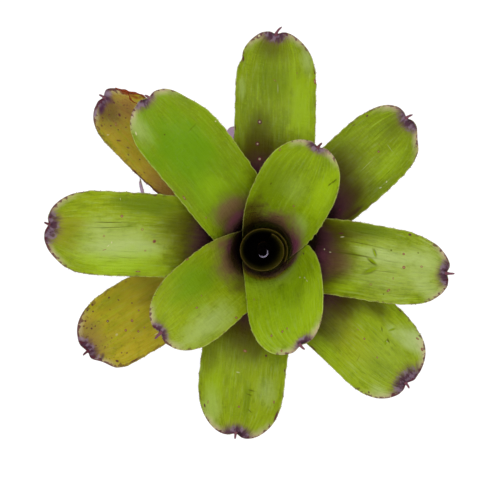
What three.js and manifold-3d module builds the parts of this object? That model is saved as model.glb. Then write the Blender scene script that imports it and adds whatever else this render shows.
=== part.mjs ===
// A neoregelia bromeliad: a bare rosette of strap leaves that stands on the cut end of its short stem.
//
// Millimetres, +Z up. The origin is the centre of the stem's cut face, which rests on the surface.
//
// Each leaf is laid out flat first, as a distance s along its midrib and a distance t across it,
// with its toothed margin, its notched tip and the small spine in the notch. It is then bent into shape:
// the sheath wraps the plant's axis, and the blade is a shallow channel along an arching midrib.
// Older leaves join the stem lower down and outside the younger ones, so the sheaths nest.

import * as THREE from 'three';
import { mergeVertices } from 'three/addons/utils/BufferGeometryUtils.js';
import Module from 'manifold-3d';

// ---------------------------------------------------------------- driving dimensions

const DEGREE = Math.PI / 180;

const STEM = {
  cutRadius: 18,        // the flat face that the plant stands on
  bevel: 1.6,
  neckRadius: 21,       // the bare stub below the lowest leaf
  neckHeight: 6,
  coneHeight: 12,       // from here up, the stem is a cone that carries the leaves
  coneRadius: 24,
  apexRadius: 4.5,
  apexHeight: 61,
  bareTop: 3,           // the cone above the youngest leaf's joint
  sides: 30,
};

// Two numbers are the limits of a random draw.
const ROOTS = {
  count: 8,
  radius: 1.6,
  endRadius: 1.0,
  endClearance: 0.2,    // between the surface and a root that droops all the way
  length: [6.5, 19.5],
  height: [3.2, 8.5],   // where they leave the stub
  droop: [0.3, 1],
  bend: [-0.3, 0.3],    // radians round the stem
  spread: 0.6,          // how unevenly they are set round the stub
  sunk: 5,              // how far their inner ends reach into the stub
  sides: 6,
  seed: 11,
};

const SHEATH = {
  seat: 0.3,            // gap between a sheath and the stem
  spread: 0.66,         // outward slope where it leaves the stem
  taper: 0.13,          // outward slope higher up, where the rosette closes into a cup
  turn: 18,             // height over which the one eases into the other
  wrap: 118 * DEGREE,   // how far round the stem it reaches, each way from its midrib
  thickness: 1.0,
  swell: 0.1,           // its extra width, as a share of the blade's
  swellAt: 0.5,         // where it is widest, and how far that reaches, as shares of the sheath's length
  swellLength: 0.35,
  rows: 5,
  steps: 30,            // how finely its midrib is worked out
};

const BLADE = {
  thickness: 1.5,
  thickFrom: 1.4,       // where it has its full thickness, in sheath lengths
  marginThickness: 0.8,
  marginFrom: 0.6,      // where it starts to thin towards the margin, as a share of the half width
  channel: 84,          // radius of the cross-section
  opensFrom: 0.95,      // the wrapped sheath starts to open here, in sheath lengths
  opensTo: 0.62,        // and is an open channel here, as a share of the blade's length
  waist: 0.03,          // how much narrower it is where it leaves the sheath
  waistLength: 0.55,    // in sheath lengths
  pull: 0.42,           // how far the midrib keeps its direction at each end, as a share of its span
  tipShare: 1.25,       // length of the rounded end, in half widths
  tipPower: 2.2,        // 2 is an ellipse; more is squarer
  rows: 8,
  tipRows: [0.3, 0.56, 0.78],              // as shares of the rounded end
  endPoints: [0.55, 0.42, 0.3, 0.2, 0.11],  // as shares of the way from the notch to the margin
  columns: 8,
  crowding: 0.5,        // how much closer together the columns lie near the margins
  steps: 60,            // how finely its midrib is worked out
};

const NOTCH = { depth: 4.2, halfWidth: 5, pinch: 2.2, pinchLength: 9 };
const SPINE = { length: 7, halfWidth: 1.0 };
const TEETH = { height: 1.5, halfBase: 1.1, lean: 1.1, from: 0.95 };  // from is in sheath lengths
const THROAT = { highest: 117, step: 6.2, lowest: 26 };               // where the sheaths end, leaf by leaf

// rank: order from the heart outwards. reach and height: where the tip is. lean: the tip's angle from upright.
// width: the blade's full width, measured along its curve. sway: how far the tip bends sideways, and notch: how far
// the notch lies off the middle, both to the left as seen from the plant's axis. Angles are in degrees,
// counter-clockwise from +X.
const LEAVES = [
  { rank: 1, azimuth: 62, reach: 96.5, height: 196, lean: 76, width: 69, sway: 0, notch: 0, tone: 'green' },
  { rank: 2, azimuth: 306.5, reach: 83.5, height: 190, lean: 78, width: 77, sway: -21, notch: -2, tone: 'green' },
  { rank: 3, azimuth: 217, reach: 112, height: 184, lean: 80, width: 69, sway: 4, notch: 0, tone: 'green' },
  { rank: 4, azimuth: 125, reach: 159.5, height: 172, lean: 78, width: 67, sway: 7, notch: -1, tone: 'green' },
  { rank: 5, azimuth: 353.5, reach: 157, height: 148, lean: 88, width: 65, sway: -4, notch: 1, tone: 'green' },
  { rank: 6, azimuth: 171, reach: 184.5, height: 140, lean: 88, width: 71, sway: 10, notch: -2.5, tone: 'green' },
  { rank: 7, azimuth: 83.5, reach: 184, height: 132, lean: 92, width: 70, sway: 8.5, notch: 2, tone: 'green' },
  { rank: 8, azimuth: 258, reach: 160.5, height: 118, lean: 96, width: 76, sway: 8, notch: 1, tone: 'green' },
  { rank: 9, azimuth: 41.5, reach: 168, height: 112, lean: 94, width: 64, sway: 1.5, notch: 2, tone: 'green' },
  { rank: 10, azimuth: 320, reach: 171, height: 96, lean: 96, width: 78, sway: -6, notch: -4, tone: 'green' },
  { rank: 11, azimuth: 136.5, reach: 192, height: 84, lean: 94, width: 57, sway: 0, notch: 0, tone: 'olive' },
  { rank: 12, azimuth: 207.5, reach: 181, height: 66, lean: 98, width: 66, sway: 4.5, notch: 4, tone: 'olive' },
  { rank: 13, azimuth: 101, reach: 113, height: 4, lean: 152, width: 46, sway: 0, notch: 0, tone: 'old' },
  { rank: 14, azimuth: 156.5, reach: 124, height: 4, lean: 152, width: 34, sway: 0, notch: 0, tone: 'old' },
];

const HEART = {
  wall: 0.95,
  footDepth: 1,         // how far below the stem's apex it starts
  rimHeight: 121,
  rimSlant: 3,          // the rim is this much higher on the midrib's side
  roll: 455 * DEGREE,   // how far it is rolled round itself
  start: -30 * DEGREE,  // where its outer margin lies
  radius: 21.6,         // outside radius at the rim, at the outer margin
  pitch: 3.2,           // how much the roll tightens in a full turn
  squeeze: 0.92,        // the mouth's size along Y, as a share of its size along X
  shift: new THREE.Vector2(-0.8, -1.3),  // how far the mouth leans off the axis
  rowCrowding: 1.25,    // more than 1 sets its rows closer together near the foot
  columns: 36,
  rows: 7,
};

const BUD = {
  wall: 0.8,
  radius: 2.7,          // inside radius
  height: 27,
  roll: 338 * DEGREE,
  start: 150 * DEGREE,
  shift: new THREE.Vector2(0.4, -4.8),  // how far its mouth leans off the axis
  slant: 3.5,           // its mouth is this much higher on one side
  highSide: -45 * DEGREE,
  columns: 14,
  rows: 4,
};

const TONES = {
  green: { color: 0x7f9c1c, roughness: 0.42 },
  olive: { color: 0x948a20, roughness: 0.5 },
  old: { color: 0x7b5a4a, roughness: 0.65 },
  heart: { color: 0x5c5418, roughness: 0.45 },
  stem: { color: 0x6b4a30, roughness: 0.85 },
};

// ---------------------------------------------------------------- small helpers

const lerp = THREE.MathUtils.lerp;
const smooth = THREE.MathUtils.smoothstep;
const bell = (x) => Math.exp(-x * x);
const finiteStep = 0.4;  // distance over which the surface's slope is measured
const around = (radius, angle, z) => new THREE.Vector3(radius * Math.cos(angle), radius * Math.sin(angle), z);

function stemRadius(z) {
  const share = (z - STEM.coneHeight) / (STEM.apexHeight - STEM.coneHeight);
  return lerp(STEM.coneRadius, STEM.apexRadius, share);
}

// How far out a sheath stands at a height above the place where it joins the stem.
function sheathSpread(height) {
  const { spread, taper, turn } = SHEATH;
  return taper * height + (spread - taper) * turn * (1 - Math.exp(-height / turn));
}

function sheathSlope(height) {
  const { spread, taper, turn } = SHEATH;
  return taper + (spread - taper) * Math.exp(-height / turn);
}

function material(tone) {
  return new THREE.MeshStandardMaterial({ ...TONES[tone], metalness: 0, name: tone });
}

function meshOf(name, vertices, triangles, tone) {
  const geometry = new THREE.BufferGeometry().setFromPoints(vertices).setIndex(triangles);
  geometry.computeVertexNormals();
  const mesh = new THREE.Mesh(geometry, material(tone));
  mesh.name = name;
  return mesh;
}

// ---------------------------------------------------------------- the midrib

// A midrib in its upright plane: (r, z) against the distance s along it.
class Midrib {
  constructor(leaf) {
    const step = (STEM.apexHeight - STEM.bareTop - STEM.coneHeight) / LEAVES.length;
    this.foot = STEM.coneHeight + step * (LEAVES.length - leaf.rank + 0.5);
    const inside = stemRadius(this.foot) + SHEATH.seat;
    const wrap = Math.min(SHEATH.wrap, leaf.width / 2 / inside);
    // The sheath's flat facets, not its corners, clear the stem by the seat.
    this.footRadius = inside / Math.cos(wrap / BLADE.columns) + SHEATH.thickness / 2;
    this.points = [...this.sheath(leaf), ...this.blade(leaf)];
    this.lengths = [0];
    for (let i = 1; i < this.points.length; i++) {
      this.lengths.push(this.lengths[i - 1] + this.points[i].distanceTo(this.points[i - 1]));
    }
    this.length = this.lengths.at(-1);
    this.throat = this.lengths[SHEATH.steps];
  }

  sheath(leaf) {
    const top = Math.max(THROAT.highest - THROAT.step * (leaf.rank - 1), THROAT.lowest);
    this.rise = top - this.foot;
    return Array.from({ length: SHEATH.steps + 1 }, (_, i) => {
      const height = (this.rise * i) / SHEATH.steps;
      return new THREE.Vector2(this.footRadius + sheathSpread(height), this.foot + height);
    });
  }

  blade(leaf) {
    const start = new THREE.Vector2(this.footRadius + sheathSpread(this.rise), this.foot + this.rise);
    const end = new THREE.Vector2(leaf.reach, leaf.height);
    const pull = BLADE.pull * start.distanceTo(end);
    const up = new THREE.Vector2(sheathSlope(this.rise), 1).normalize();
    const out = new THREE.Vector2(Math.sin(leaf.lean * DEGREE), Math.cos(leaf.lean * DEGREE));
    const curve = new THREE.CubicBezierCurve(
      start,
      start.clone().addScaledVector(up, pull),
      end.clone().addScaledVector(out, -pull),
      end,
    );
    return curve.getPoints(BLADE.steps).slice(1);
  }

  at(s) {
    const last = this.points.length - 1;
    let i = 1;
    while (i < last && this.lengths[i] < s) i++;
    const [a, b] = [this.points[i - 1], this.points[i]];
    const share = (s - this.lengths[i - 1]) / (this.lengths[i] - this.lengths[i - 1]);
    return { r: lerp(a.x, b.x, share), z: lerp(a.y, b.y, share) };
  }
}

// ---------------------------------------------------------------- one leaf, flat and bent

class Leaf {
  constructor(leaf) {
    this.leaf = leaf;
    this.midrib = new Midrib(leaf);
    this.length = this.midrib.length;
    this.throat = this.midrib.throat;
    this.half = leaf.width / 2;
    this.tipLength = BLADE.tipShare * this.half;
    this.points = [];
    this.faces = [];
  }

  // Half the leaf's width before its end is rounded.
  strap(s) {
    const { half, throat } = this;
    const waist = 1 - BLADE.waist * bell((s / throat - 1) / BLADE.waistLength);
    const swell = SHEATH.swell * bell((s / throat - SHEATH.swellAt) / SHEATH.swellLength);
    const wide = half * (waist + swell);
    const round = SHEATH.wrap * this.midrib.at(s).r;
    return wide / (1 + (wide / round) ** 4) ** 0.25;
  }

  halfWidth(s) {
    const into = (s - (this.length - this.tipLength)) / this.tipLength;
    if (into <= 0) return this.strap(s);
    return this.strap(s) * (1 - into ** BLADE.tipPower) ** (1 / BLADE.tipPower);
  }

  // Where the point (s, t) of the flat leaf's middle layer lies on the plant.
  middle(s, t) {
    const { leaf, midrib, throat, length } = this;
    const azimuth = leaf.azimuth * DEGREE;
    const clamped = Math.min(s, length);
    const { r, z } = midrib.at(clamped);
    const before = midrib.at(clamped - finiteStep);
    const along = new THREE.Vector2(r - before.r, z - before.z).normalize();

    const wrapped = around(r, azimuth + t / r, z);

    const across = new THREE.Vector3(-Math.sin(azimuth), Math.cos(azimuth), 0);
    const inward = around(-along.y, azimuth, along.x);
    const forward = around(along.x, azimuth, along.y);
    const angle = t / BLADE.channel;
    const channelled = around(r, azimuth, z)
      .addScaledVector(across, BLADE.channel * Math.sin(angle))
      .addScaledVector(inward, BLADE.channel * (1 - Math.cos(angle)))
      .addScaledVector(forward, s - clamped);

    const open = smooth(s, BLADE.opensFrom * throat, lerp(throat, length, BLADE.opensTo));
    const bent = wrapped.lerp(channelled, open);
    const out = smooth(s, throat, length);
    bent.addScaledVector(across, leaf.sway * out * out);
    const off = t - leaf.notch;
    const pinch = NOTCH.pinch * bell(off / NOTCH.halfWidth) * bell((length - s) / NOTCH.pinchLength);
    return bent.addScaledVector(inward, -pinch);
  }

  thickness(s, t) {
    const body = lerp(SHEATH.thickness, BLADE.thickness, smooth(s, this.throat, BLADE.thickFrom * this.throat));
    const edge = Math.abs(t) / this.halfWidth(Math.min(s, this.length - 1));
    return lerp(body, Math.min(body, BLADE.marginThickness), smooth(edge, BLADE.marginFrom, 1));
  }

  // side is 1 for the upper face and -1 for the lower one.
  surface([s, t], side) {
    const ds = this.middle(s + finiteStep, t).sub(this.middle(s - finiteStep, t));
    const dt = this.middle(s, t + finiteStep).sub(this.middle(s, t - finiteStep));
    const normal = ds.cross(dt).normalize();
    return this.middle(s, t).addScaledVector(normal, (side * this.thickness(s, t)) / 2);
  }

  rows() {
    const { throat, length, tipLength } = this;
    const tip = length - tipLength;
    const list = [];
    for (let i = 0; i < SHEATH.rows; i++) list.push((throat * i) / SHEATH.rows);
    for (let i = 0; i < BLADE.rows; i++) list.push(lerp(throat, tip, i / BLADE.rows));
    list.push(tip, ...BLADE.tipRows.map((share) => tip + share * tipLength));
    return list;
  }

  add(s, t) {
    this.points.push([s, t]);
    return this.points.length - 1;
  }

  // A cell of the flat leaf: its corners counter-clockwise, seen with s to the right and t up.
  cell(corners) {
    const contour = corners.map((i) => new THREE.Vector2(...this.points[i]));
    for (const [a, b, c] of THREE.ShapeUtils.triangulateShape(contour, [])) {
      this.faces.push([corners[a], corners[b], corners[c]]);
    }
  }

  // The extra margin points of one tooth between two rows; side is 1 or -1. The tooth points to the tip.
  tooth(s0, s1, side) {
    const centre = (s0 + s1) / 2;
    return [
      this.add(centre - TEETH.halfBase, side * this.halfWidth(centre - TEETH.halfBase)),
      this.add(centre + TEETH.lean, side * (this.halfWidth(centre) + TEETH.height)),
      this.add(centre + TEETH.halfBase, side * this.halfWidth(centre + TEETH.halfBase)),
    ];
  }

  // A strip of triangles between two chains of points that both run across the leaf, from -t to +t.
  strip(near, far) {
    const across = (chain, i) => (i < chain.length ? this.points[chain[i]][1] : Infinity);
    let i = 0;
    let j = 0;
    while (i + 1 < near.length || j + 1 < far.length) {
      if (across(near, i + 1) < across(far, j + 1)) {
        this.faces.push([near[i], far[j], near[i + 1]]);
        i++;
      } else {
        this.faces.push([near[i], far[j], far[j + 1]]);
        j++;
      }
    }
  }

  // The outline of the rounded end, from -t to +t, in two lobes with a notch between them.
  lobes() {
    const { length, tipLength } = this;
    const { notch } = this.leaf;
    const widest = this.strap(length);
    const outline = (t) => {
      const round = (1 - Math.min(1, Math.abs(t) / widest) ** BLADE.tipPower) ** (1 / BLADE.tipPower);
      return [length - tipLength * (1 - round) - NOTCH.depth * bell((t - notch) / NOTCH.halfWidth), t];
    };
    const lobe = (sign) => [
      ...BLADE.endPoints.map((share) => outline(notch + sign * share * (widest - sign * notch))),
      outline(notch + sign * SPINE.halfWidth),
    ];
    return { right: lobe(-1), spine: [outline(notch)[0] + SPINE.length, notch], left: lobe(1).reverse() };
  }

  layOut() {
    const rows = this.rows();
    const columns = BLADE.columns;
    const grid = rows.map((s) => {
      const half = this.halfWidth(s);
      return Array.from({ length: columns + 1 }, (_, j) => {
        const even = (2 * j) / columns - 1;
        const crowded = Math.sin((Math.PI / 2) * even);
        return this.add(s, half * lerp(even, crowded, BLADE.crowding * smooth(s, 0, this.throat)));
      });
    });
    const low = [grid[0][0]];
    const high = [grid[0][columns]];
    for (let i = 0; i + 1 < rows.length; i++) {
      const toothed = rows[i] > this.throat * TEETH.from;
      const lowTooth = toothed ? this.tooth(rows[i], rows[i + 1], -1) : [];
      const highTooth = toothed ? this.tooth(rows[i], rows[i + 1], 1) : [];
      const [near, far] = [grid[i], grid[i + 1]];
      this.cell([near[0], ...lowTooth, far[0], far[1], near[1]]);
      for (let j = 1; j < columns - 1; j++) this.cell([near[j], far[j], far[j + 1], near[j + 1]]);
      this.cell([near[columns - 1], far[columns - 1], far[columns], ...highTooth.toReversed(), near[columns]]);
      low.push(...lowTooth, far[0]);
      high.push(...highTooth, far[columns]);
    }
    const last = grid.at(-1);
    const lobes = this.lobes();
    const right = lobes.right.map((point) => this.add(...point));
    const left = lobes.left.map((point) => this.add(...point));
    const spine = this.add(...lobes.spine);
    this.strip(last, [...right, ...left]);
    this.faces.push([right.at(-1), spine, left[0]]);
    this.margin = [...grid[0].slice(1, -1).reverse(), ...low, ...right, spine, ...left, ...high.toReversed()];
  }

  mesh() {
    this.layOut();
    const count = this.points.length;
    const vertices = [
      ...this.points.map((p) => this.surface(p, 1)),
      ...this.points.map((p) => this.surface(p, -1)),
    ];
    const triangles = [];
    for (const [a, b, c] of this.faces) triangles.push(a, b, c, c + count, b + count, a + count);
    this.margin.forEach((a, i) => {
      const b = this.margin[(i + 1) % this.margin.length];
      triangles.push(b, a, a + count, b, a + count, b + count);
    });
    const number = String(this.leaf.rank).padStart(2, '0');
    return meshOf(`leaf_${number}`, vertices, triangles, this.leaf.tone);
  }
}

// ---------------------------------------------------------------- the rolled leaves in the heart

// A closed wall swept round a roll: point(u, v, side) gives its inner (-1) or outer (1) face, u round it and v up it.
function rolledWall(name, columns, rows, point, tone) {
  const vertices = [];
  const index = (i, j, side) => (side < 0 ? 0 : (columns + 1) * (rows + 1)) + j * (columns + 1) + i;
  for (const side of [-1, 1]) {
    for (let j = 0; j <= rows; j++) {
      for (let i = 0; i <= columns; i++) vertices.push(point(i / columns, j / rows, side));
    }
  }
  const triangles = [];
  const quad = (a, b, c, d) => triangles.push(a, b, c, a, c, d);
  for (let j = 0; j < rows; j++) {
    for (let i = 0; i < columns; i++) {
      quad(index(i, j, 1), index(i + 1, j, 1), index(i + 1, j + 1, 1), index(i, j + 1, 1));
      quad(index(i, j, -1), index(i, j + 1, -1), index(i + 1, j + 1, -1), index(i + 1, j, -1));
    }
    quad(index(0, j, -1), index(0, j, 1), index(0, j + 1, 1), index(0, j + 1, -1));
    quad(index(columns, j, 1), index(columns, j, -1), index(columns, j + 1, -1), index(columns, j + 1, 1));
  }
  for (let i = 0; i < columns; i++) {
    quad(index(i, 0, -1), index(i + 1, 0, -1), index(i + 1, 0, 1), index(i, 0, 1));
    quad(index(i, rows, 1), index(i + 1, rows, 1), index(i + 1, rows, -1), index(i, rows, -1));
  }
  return meshOf(name, vertices, triangles, tone);
}

// The youngest full leaf, rolled into the tube in the middle of the cup.
function heartLeaf() {
  const foot = STEM.apexHeight - HEART.footDepth;
  const turns = HEART.roll / (2 * Math.PI);
  const footPitch = HEART.wall + SHEATH.seat;
  const footRadius = stemRadius(foot) + SHEATH.seat + HEART.wall + footPitch * turns;
  const height = HEART.rimHeight - foot;
  const growth = (HEART.radius - footRadius) / sheathSpread(height);
  const middle = HEART.start + HEART.roll / 2;
  return rolledWall('heart_leaf', HEART.columns, HEART.rows, (u, v, side) => {
    const angle = HEART.start + HEART.roll * u;
    const climb = height * v ** HEART.rowCrowding;
    const tighter = lerp(footPitch, HEART.pitch, v) * turns * u;
    const radius = footRadius + growth * sheathSpread(climb) - tighter - (side > 0 ? 0 : HEART.wall);
    const slant = HEART.rimSlant * Math.cos((angle - middle) / 2) * v;
    const point = around(radius, angle, foot + climb + slant);
    point.x += HEART.shift.x * v;
    point.y = point.y * lerp(1, HEART.squeeze, v) + HEART.shift.y * v;
    return point;
  }, 'heart');
}

// The newest leaf, still a narrow roll at the bottom of the tube.
function budLeaf() {
  const foot = STEM.apexHeight + SHEATH.seat;
  return rolledWall('newest_leaf', BUD.columns, BUD.rows, (u, v, side) => {
    const angle = BUD.start + BUD.roll * u;
    const radius = BUD.radius + (side > 0 ? BUD.wall : 0);
    const lean = v * v;
    const slant = BUD.slant * Math.cos(angle - BUD.highSide) * v;
    return around(radius, angle, foot + BUD.height * v + slant)
      .add(new THREE.Vector3(BUD.shift.x * lean, BUD.shift.y * lean, 0));
  }, 'heart');
}

// ---------------------------------------------------------------- the stem and its trimmed roots

function solidOf(wasm, geometry) {
  geometry.deleteAttribute('normal');
  geometry.deleteAttribute('uv');
  const merged = mergeVertices(geometry, 1e-4);
  return new wasm.Manifold(new wasm.Mesh({
    numProp: 3,
    vertProperties: merged.attributes.position.array,
    triVerts: new Uint32Array(merged.index.array),
  }));
}

function geometryOf(solid) {
  const { vertProperties, triVerts } = solid.getMesh();
  return new THREE.BufferGeometry()
    .setAttribute('position', new THREE.BufferAttribute(new Float32Array(vertProperties), 3))
    .setIndex(new THREE.BufferAttribute(triVerts, 1));
}

function stemBody() {
  const { cutRadius, bevel, neckRadius, neckHeight, coneHeight, coneRadius, apexRadius, apexHeight, sides } = STEM;
  const profile = [
    [0, 0], [cutRadius, 0], [cutRadius + bevel, bevel], [neckRadius, neckHeight],
    [coneRadius, coneHeight], [apexRadius, apexHeight], [0, apexHeight],
  ].map(([x, y]) => new THREE.Vector2(x, y));
  return new THREE.LatheGeometry(profile, sides).rotateX(Math.PI / 2);
}

function root(angle, bend, length, height, droop) {
  const { radius, endRadius, endClearance, sunk, sides } = ROOTS;
  const start = around(STEM.neckRadius - sunk, angle, height);
  const end = around(STEM.neckRadius + length, angle + bend, lerp(height, endRadius + endClearance, droop));
  const along = end.clone().sub(start);
  const middle = start.clone().add(end).multiplyScalar(0.5);
  const turn = new THREE.Quaternion().setFromUnitVectors(new THREE.Vector3(0, 1, 0), along.clone().normalize());
  return new THREE.CylinderGeometry(endRadius, radius, along.length(), sides)
    .applyQuaternion(turn)
    .translate(middle.x, middle.y, middle.z);
}

function stem(wasm) {
  let solid = solidOf(wasm, stemBody());
  THREE.MathUtils.seededRandom(ROOTS.seed);
  const random = ([low, high]) => lerp(low, high, THREE.MathUtils.seededRandom());
  for (let i = 0; i < ROOTS.count; i++) {
    const angle = ((i + random([0, ROOTS.spread])) / ROOTS.count) * 2 * Math.PI;
    const geometry = root(angle, random(ROOTS.bend), random(ROOTS.length), random(ROOTS.height), random(ROOTS.droop));
    solid = solid.add(solidOf(wasm, geometry));
  }
  const mesh = new THREE.Mesh(geometryOf(solid), material('stem'));
  mesh.name = 'stem';
  return mesh;
}

// ---------------------------------------------------------------- the plant

const wasm = await Module();
wasm.setup();

const plant = new THREE.Group();
plant.name = 'neoregelia';
plant.add(stem(wasm));
plant.add(budLeaf());
plant.add(heartLeaf());
for (const leaf of LEAVES) plant.add(new Leaf(leaf).mesh());

export default plant;
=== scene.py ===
"""A neoregelia bromeliad: a bare rosette of strap leaves on the cut end of its short stem.

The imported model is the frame: metres, +Z up, the origin at the centre of the stem's cut face. Each piece
here is a finer version of one of its nodes, worked out from the same sizes and standing in the same place.

A leaf is laid out flat first, as a distance s along its midrib and a distance t across it. It is then
bent: the sheath wraps the plant's axis, and the blade is a shallow channel along an arching midrib.
"""

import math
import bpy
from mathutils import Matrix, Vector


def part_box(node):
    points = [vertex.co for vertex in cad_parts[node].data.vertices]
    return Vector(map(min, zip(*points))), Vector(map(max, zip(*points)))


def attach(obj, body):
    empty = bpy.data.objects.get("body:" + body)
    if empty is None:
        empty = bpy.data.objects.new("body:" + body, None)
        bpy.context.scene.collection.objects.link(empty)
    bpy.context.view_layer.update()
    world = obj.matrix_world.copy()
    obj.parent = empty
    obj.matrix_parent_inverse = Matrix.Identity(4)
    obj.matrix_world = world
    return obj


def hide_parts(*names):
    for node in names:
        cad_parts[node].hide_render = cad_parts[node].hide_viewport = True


bl_info = {
    "name": "Neoregelia Bromeliad",
    "version": (1, 0, 0),
    "blender": (4, 5, 0),
    "location": "3D View > Sidebar > Neoregelia",
    "description": "Builds a bare neoregelia rosette, leaf by leaf, on a plain stage",
    "category": "Add Mesh",
}

from types import SimpleNamespace

import bpy
import numpy as np
from bpy.props import FloatProperty, FloatVectorProperty, IntProperty, PointerProperty
from mathutils import Vector
from mathutils.kdtree import KDTree

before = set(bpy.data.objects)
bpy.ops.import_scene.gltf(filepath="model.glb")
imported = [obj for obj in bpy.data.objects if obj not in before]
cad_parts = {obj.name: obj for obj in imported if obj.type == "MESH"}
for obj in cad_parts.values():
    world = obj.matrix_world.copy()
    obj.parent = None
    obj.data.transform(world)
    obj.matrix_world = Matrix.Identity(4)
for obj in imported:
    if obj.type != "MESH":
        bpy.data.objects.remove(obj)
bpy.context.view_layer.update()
MM = 0.001


# ---------------------------------------------------------------- the plant's plan

CONE = SimpleNamespace(height=12 * MM, radius=24 * MM, apex_radius=4.5 * MM, bare_top=3 * MM)

ROOTS = SimpleNamespace(
    count=8, radius=1.6 * MM, end_radius=1.0 * MM, end_clearance=0.2 * MM, length=(6.5 * MM, 19.5 * MM),
    height=(3.2 * MM, 8.5 * MM), droop=(0.3, 1.0), bend=(-0.3, 0.3), spread=0.6, sunk=5 * MM, seed=11,
    steps=22, sides=10, kink=0.5 * MM, arch=0.6 * MM, lowest=0.05 * MM,
)

BARK = SimpleNamespace(
    rows=200, columns=96, inset=0.35 * MM, rough=0.28 * MM, rough_width=18 * MM, rough_height=5 * MM,
    ring=0.25 * MM, ring_gap=3.3 * MM, cut_edge=0.3 * MM, girth=20 * MM, seed=5,
    foot_zone=(0.2 * MM, 1.5 * MM), top_zone=2 * MM,
)

SHEATH = SimpleNamespace(
    seat=0.3 * MM, spread=0.66, taper=0.13, turn=18 * MM, wrap=math.radians(118), thickness=1.0 * MM,
    swell=0.1, swell_at=0.5, swell_length=0.35, facets=8,
)

BLADE = SimpleNamespace(
    thick_from=1.4, margin_from=0.6, opens_from=0.95, opens_to=0.62, waist=0.03, waist_length=0.55,
    pull=0.42, tip_share=1.25, tip_power=2.2, end_zone=1.35,
)

NOTCH = SimpleNamespace(half_width=5 * MM, pinch=2.2 * MM, pinch_length=9 * MM)
THROAT = SimpleNamespace(
    highest=117 * MM, step=6.2 * MM, lowest=26 * MM, deepest=1.4, margin=0.4, margin_from=0.45,
)
PATCH = SimpleNamespace(breadth=1.5, size=0.94)
THORN = SimpleNamespace(
    size=(0.55, 1.1), gap=(0.6, 1.5), lean=0.9, thick=0.42, finest=0.02 * MM, ends=0.45, dried=0.3,
    steps=5, sides=5,
)
SPINE = SimpleNamespace(
    rooted=2.2 * MM, thick=1.35 * MM, point=0.3 * MM, sinks=0.6 * MM, widest=0.4, dried=0.95,
    old_dried=0.2, steps=12, sides=8,
)
STRAND = SimpleNamespace(
    steps=8, sides=8, lift=0.3, curl=0.9, curl_rate=5.0, swell=0.25, swell_rate=3.4, ends=0.15,
    thinnest=0.3, rooted=5 * MM,
)
GRID = SimpleNamespace(
    samples=4001, margin=1.0004, notch_crowding=2.2, notch_width=4 * MM, end_share=4, sheath_share=7,
    border_step=0.08 * MM,
)
ROLL = SimpleNamespace(across=120, along=60, crowding=0.3)
PROBE = 0.4 * MM  # distance over which a surface's slope is measured
RANK_GAP = 40.0  # how far apart the leaves lie in the fields that place their patterns
NEARLY_UP = (0.0001, 0.0001, 1.0001)
VECTOR_FIELDS = ("flat", "grain")

# Dark tones that no setting changes, as linear colours. tube and roll are painted shade, the near black deep
# in the heart's tube and on the newest leaf in it.
DARK = SimpleNamespace(
    tube=(0.004, 0.003, 0.0015), roll=(0.004, 0.0012, 0.002), crack=(0.02, 0.011, 0.006),
    pore=(0.07, 0.035, 0.016), rootlet=(0.012, 0.007, 0.004),
)


class Plan:
    """One leaf's own sizes, in millimetres and degrees counter-clockwise from +X.

    reach and height are where the tip is, and lean is the tip's angle from upright. sway is how far the tip
    bends sideways and notch how far the notch lies off the middle, both to the left seen from the plant's
    axis. spine is the tip spine's length and hook how far its end bends sideways. blush is how far from the
    axis the purple of the throat reaches and fade how long it takes to do so. patch is the size of the purple
    patch at the tip and drift how far it lies off the middle. age runs from 0 for fresh green to 1 for yellow
    olive, and light from -1 for deep green to 1 for lime. ridges is how strongly the veins stand out.
    """

    KEYS = (
        "rank", "tone", "azimuth", "reach", "height", "lean", "width", "sway", "notch", "spine", "hook",
        "blush", "fade", "patch", "drift", "age", "light", "ridges",
    )
    ANGLES = ("azimuth", "lean")
    PLAIN = ("rank", "tone", "age", "light", "ridges")

    def __init__(self, *values):
        for key, value in zip(self.KEYS, values, strict=True):
            if key in self.ANGLES:
                value = math.radians(value)
            elif key not in self.PLAIN:
                value = value * MM
            setattr(self, key, value)
        self.node = f"leaf_{self.rank:02d}"


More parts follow.
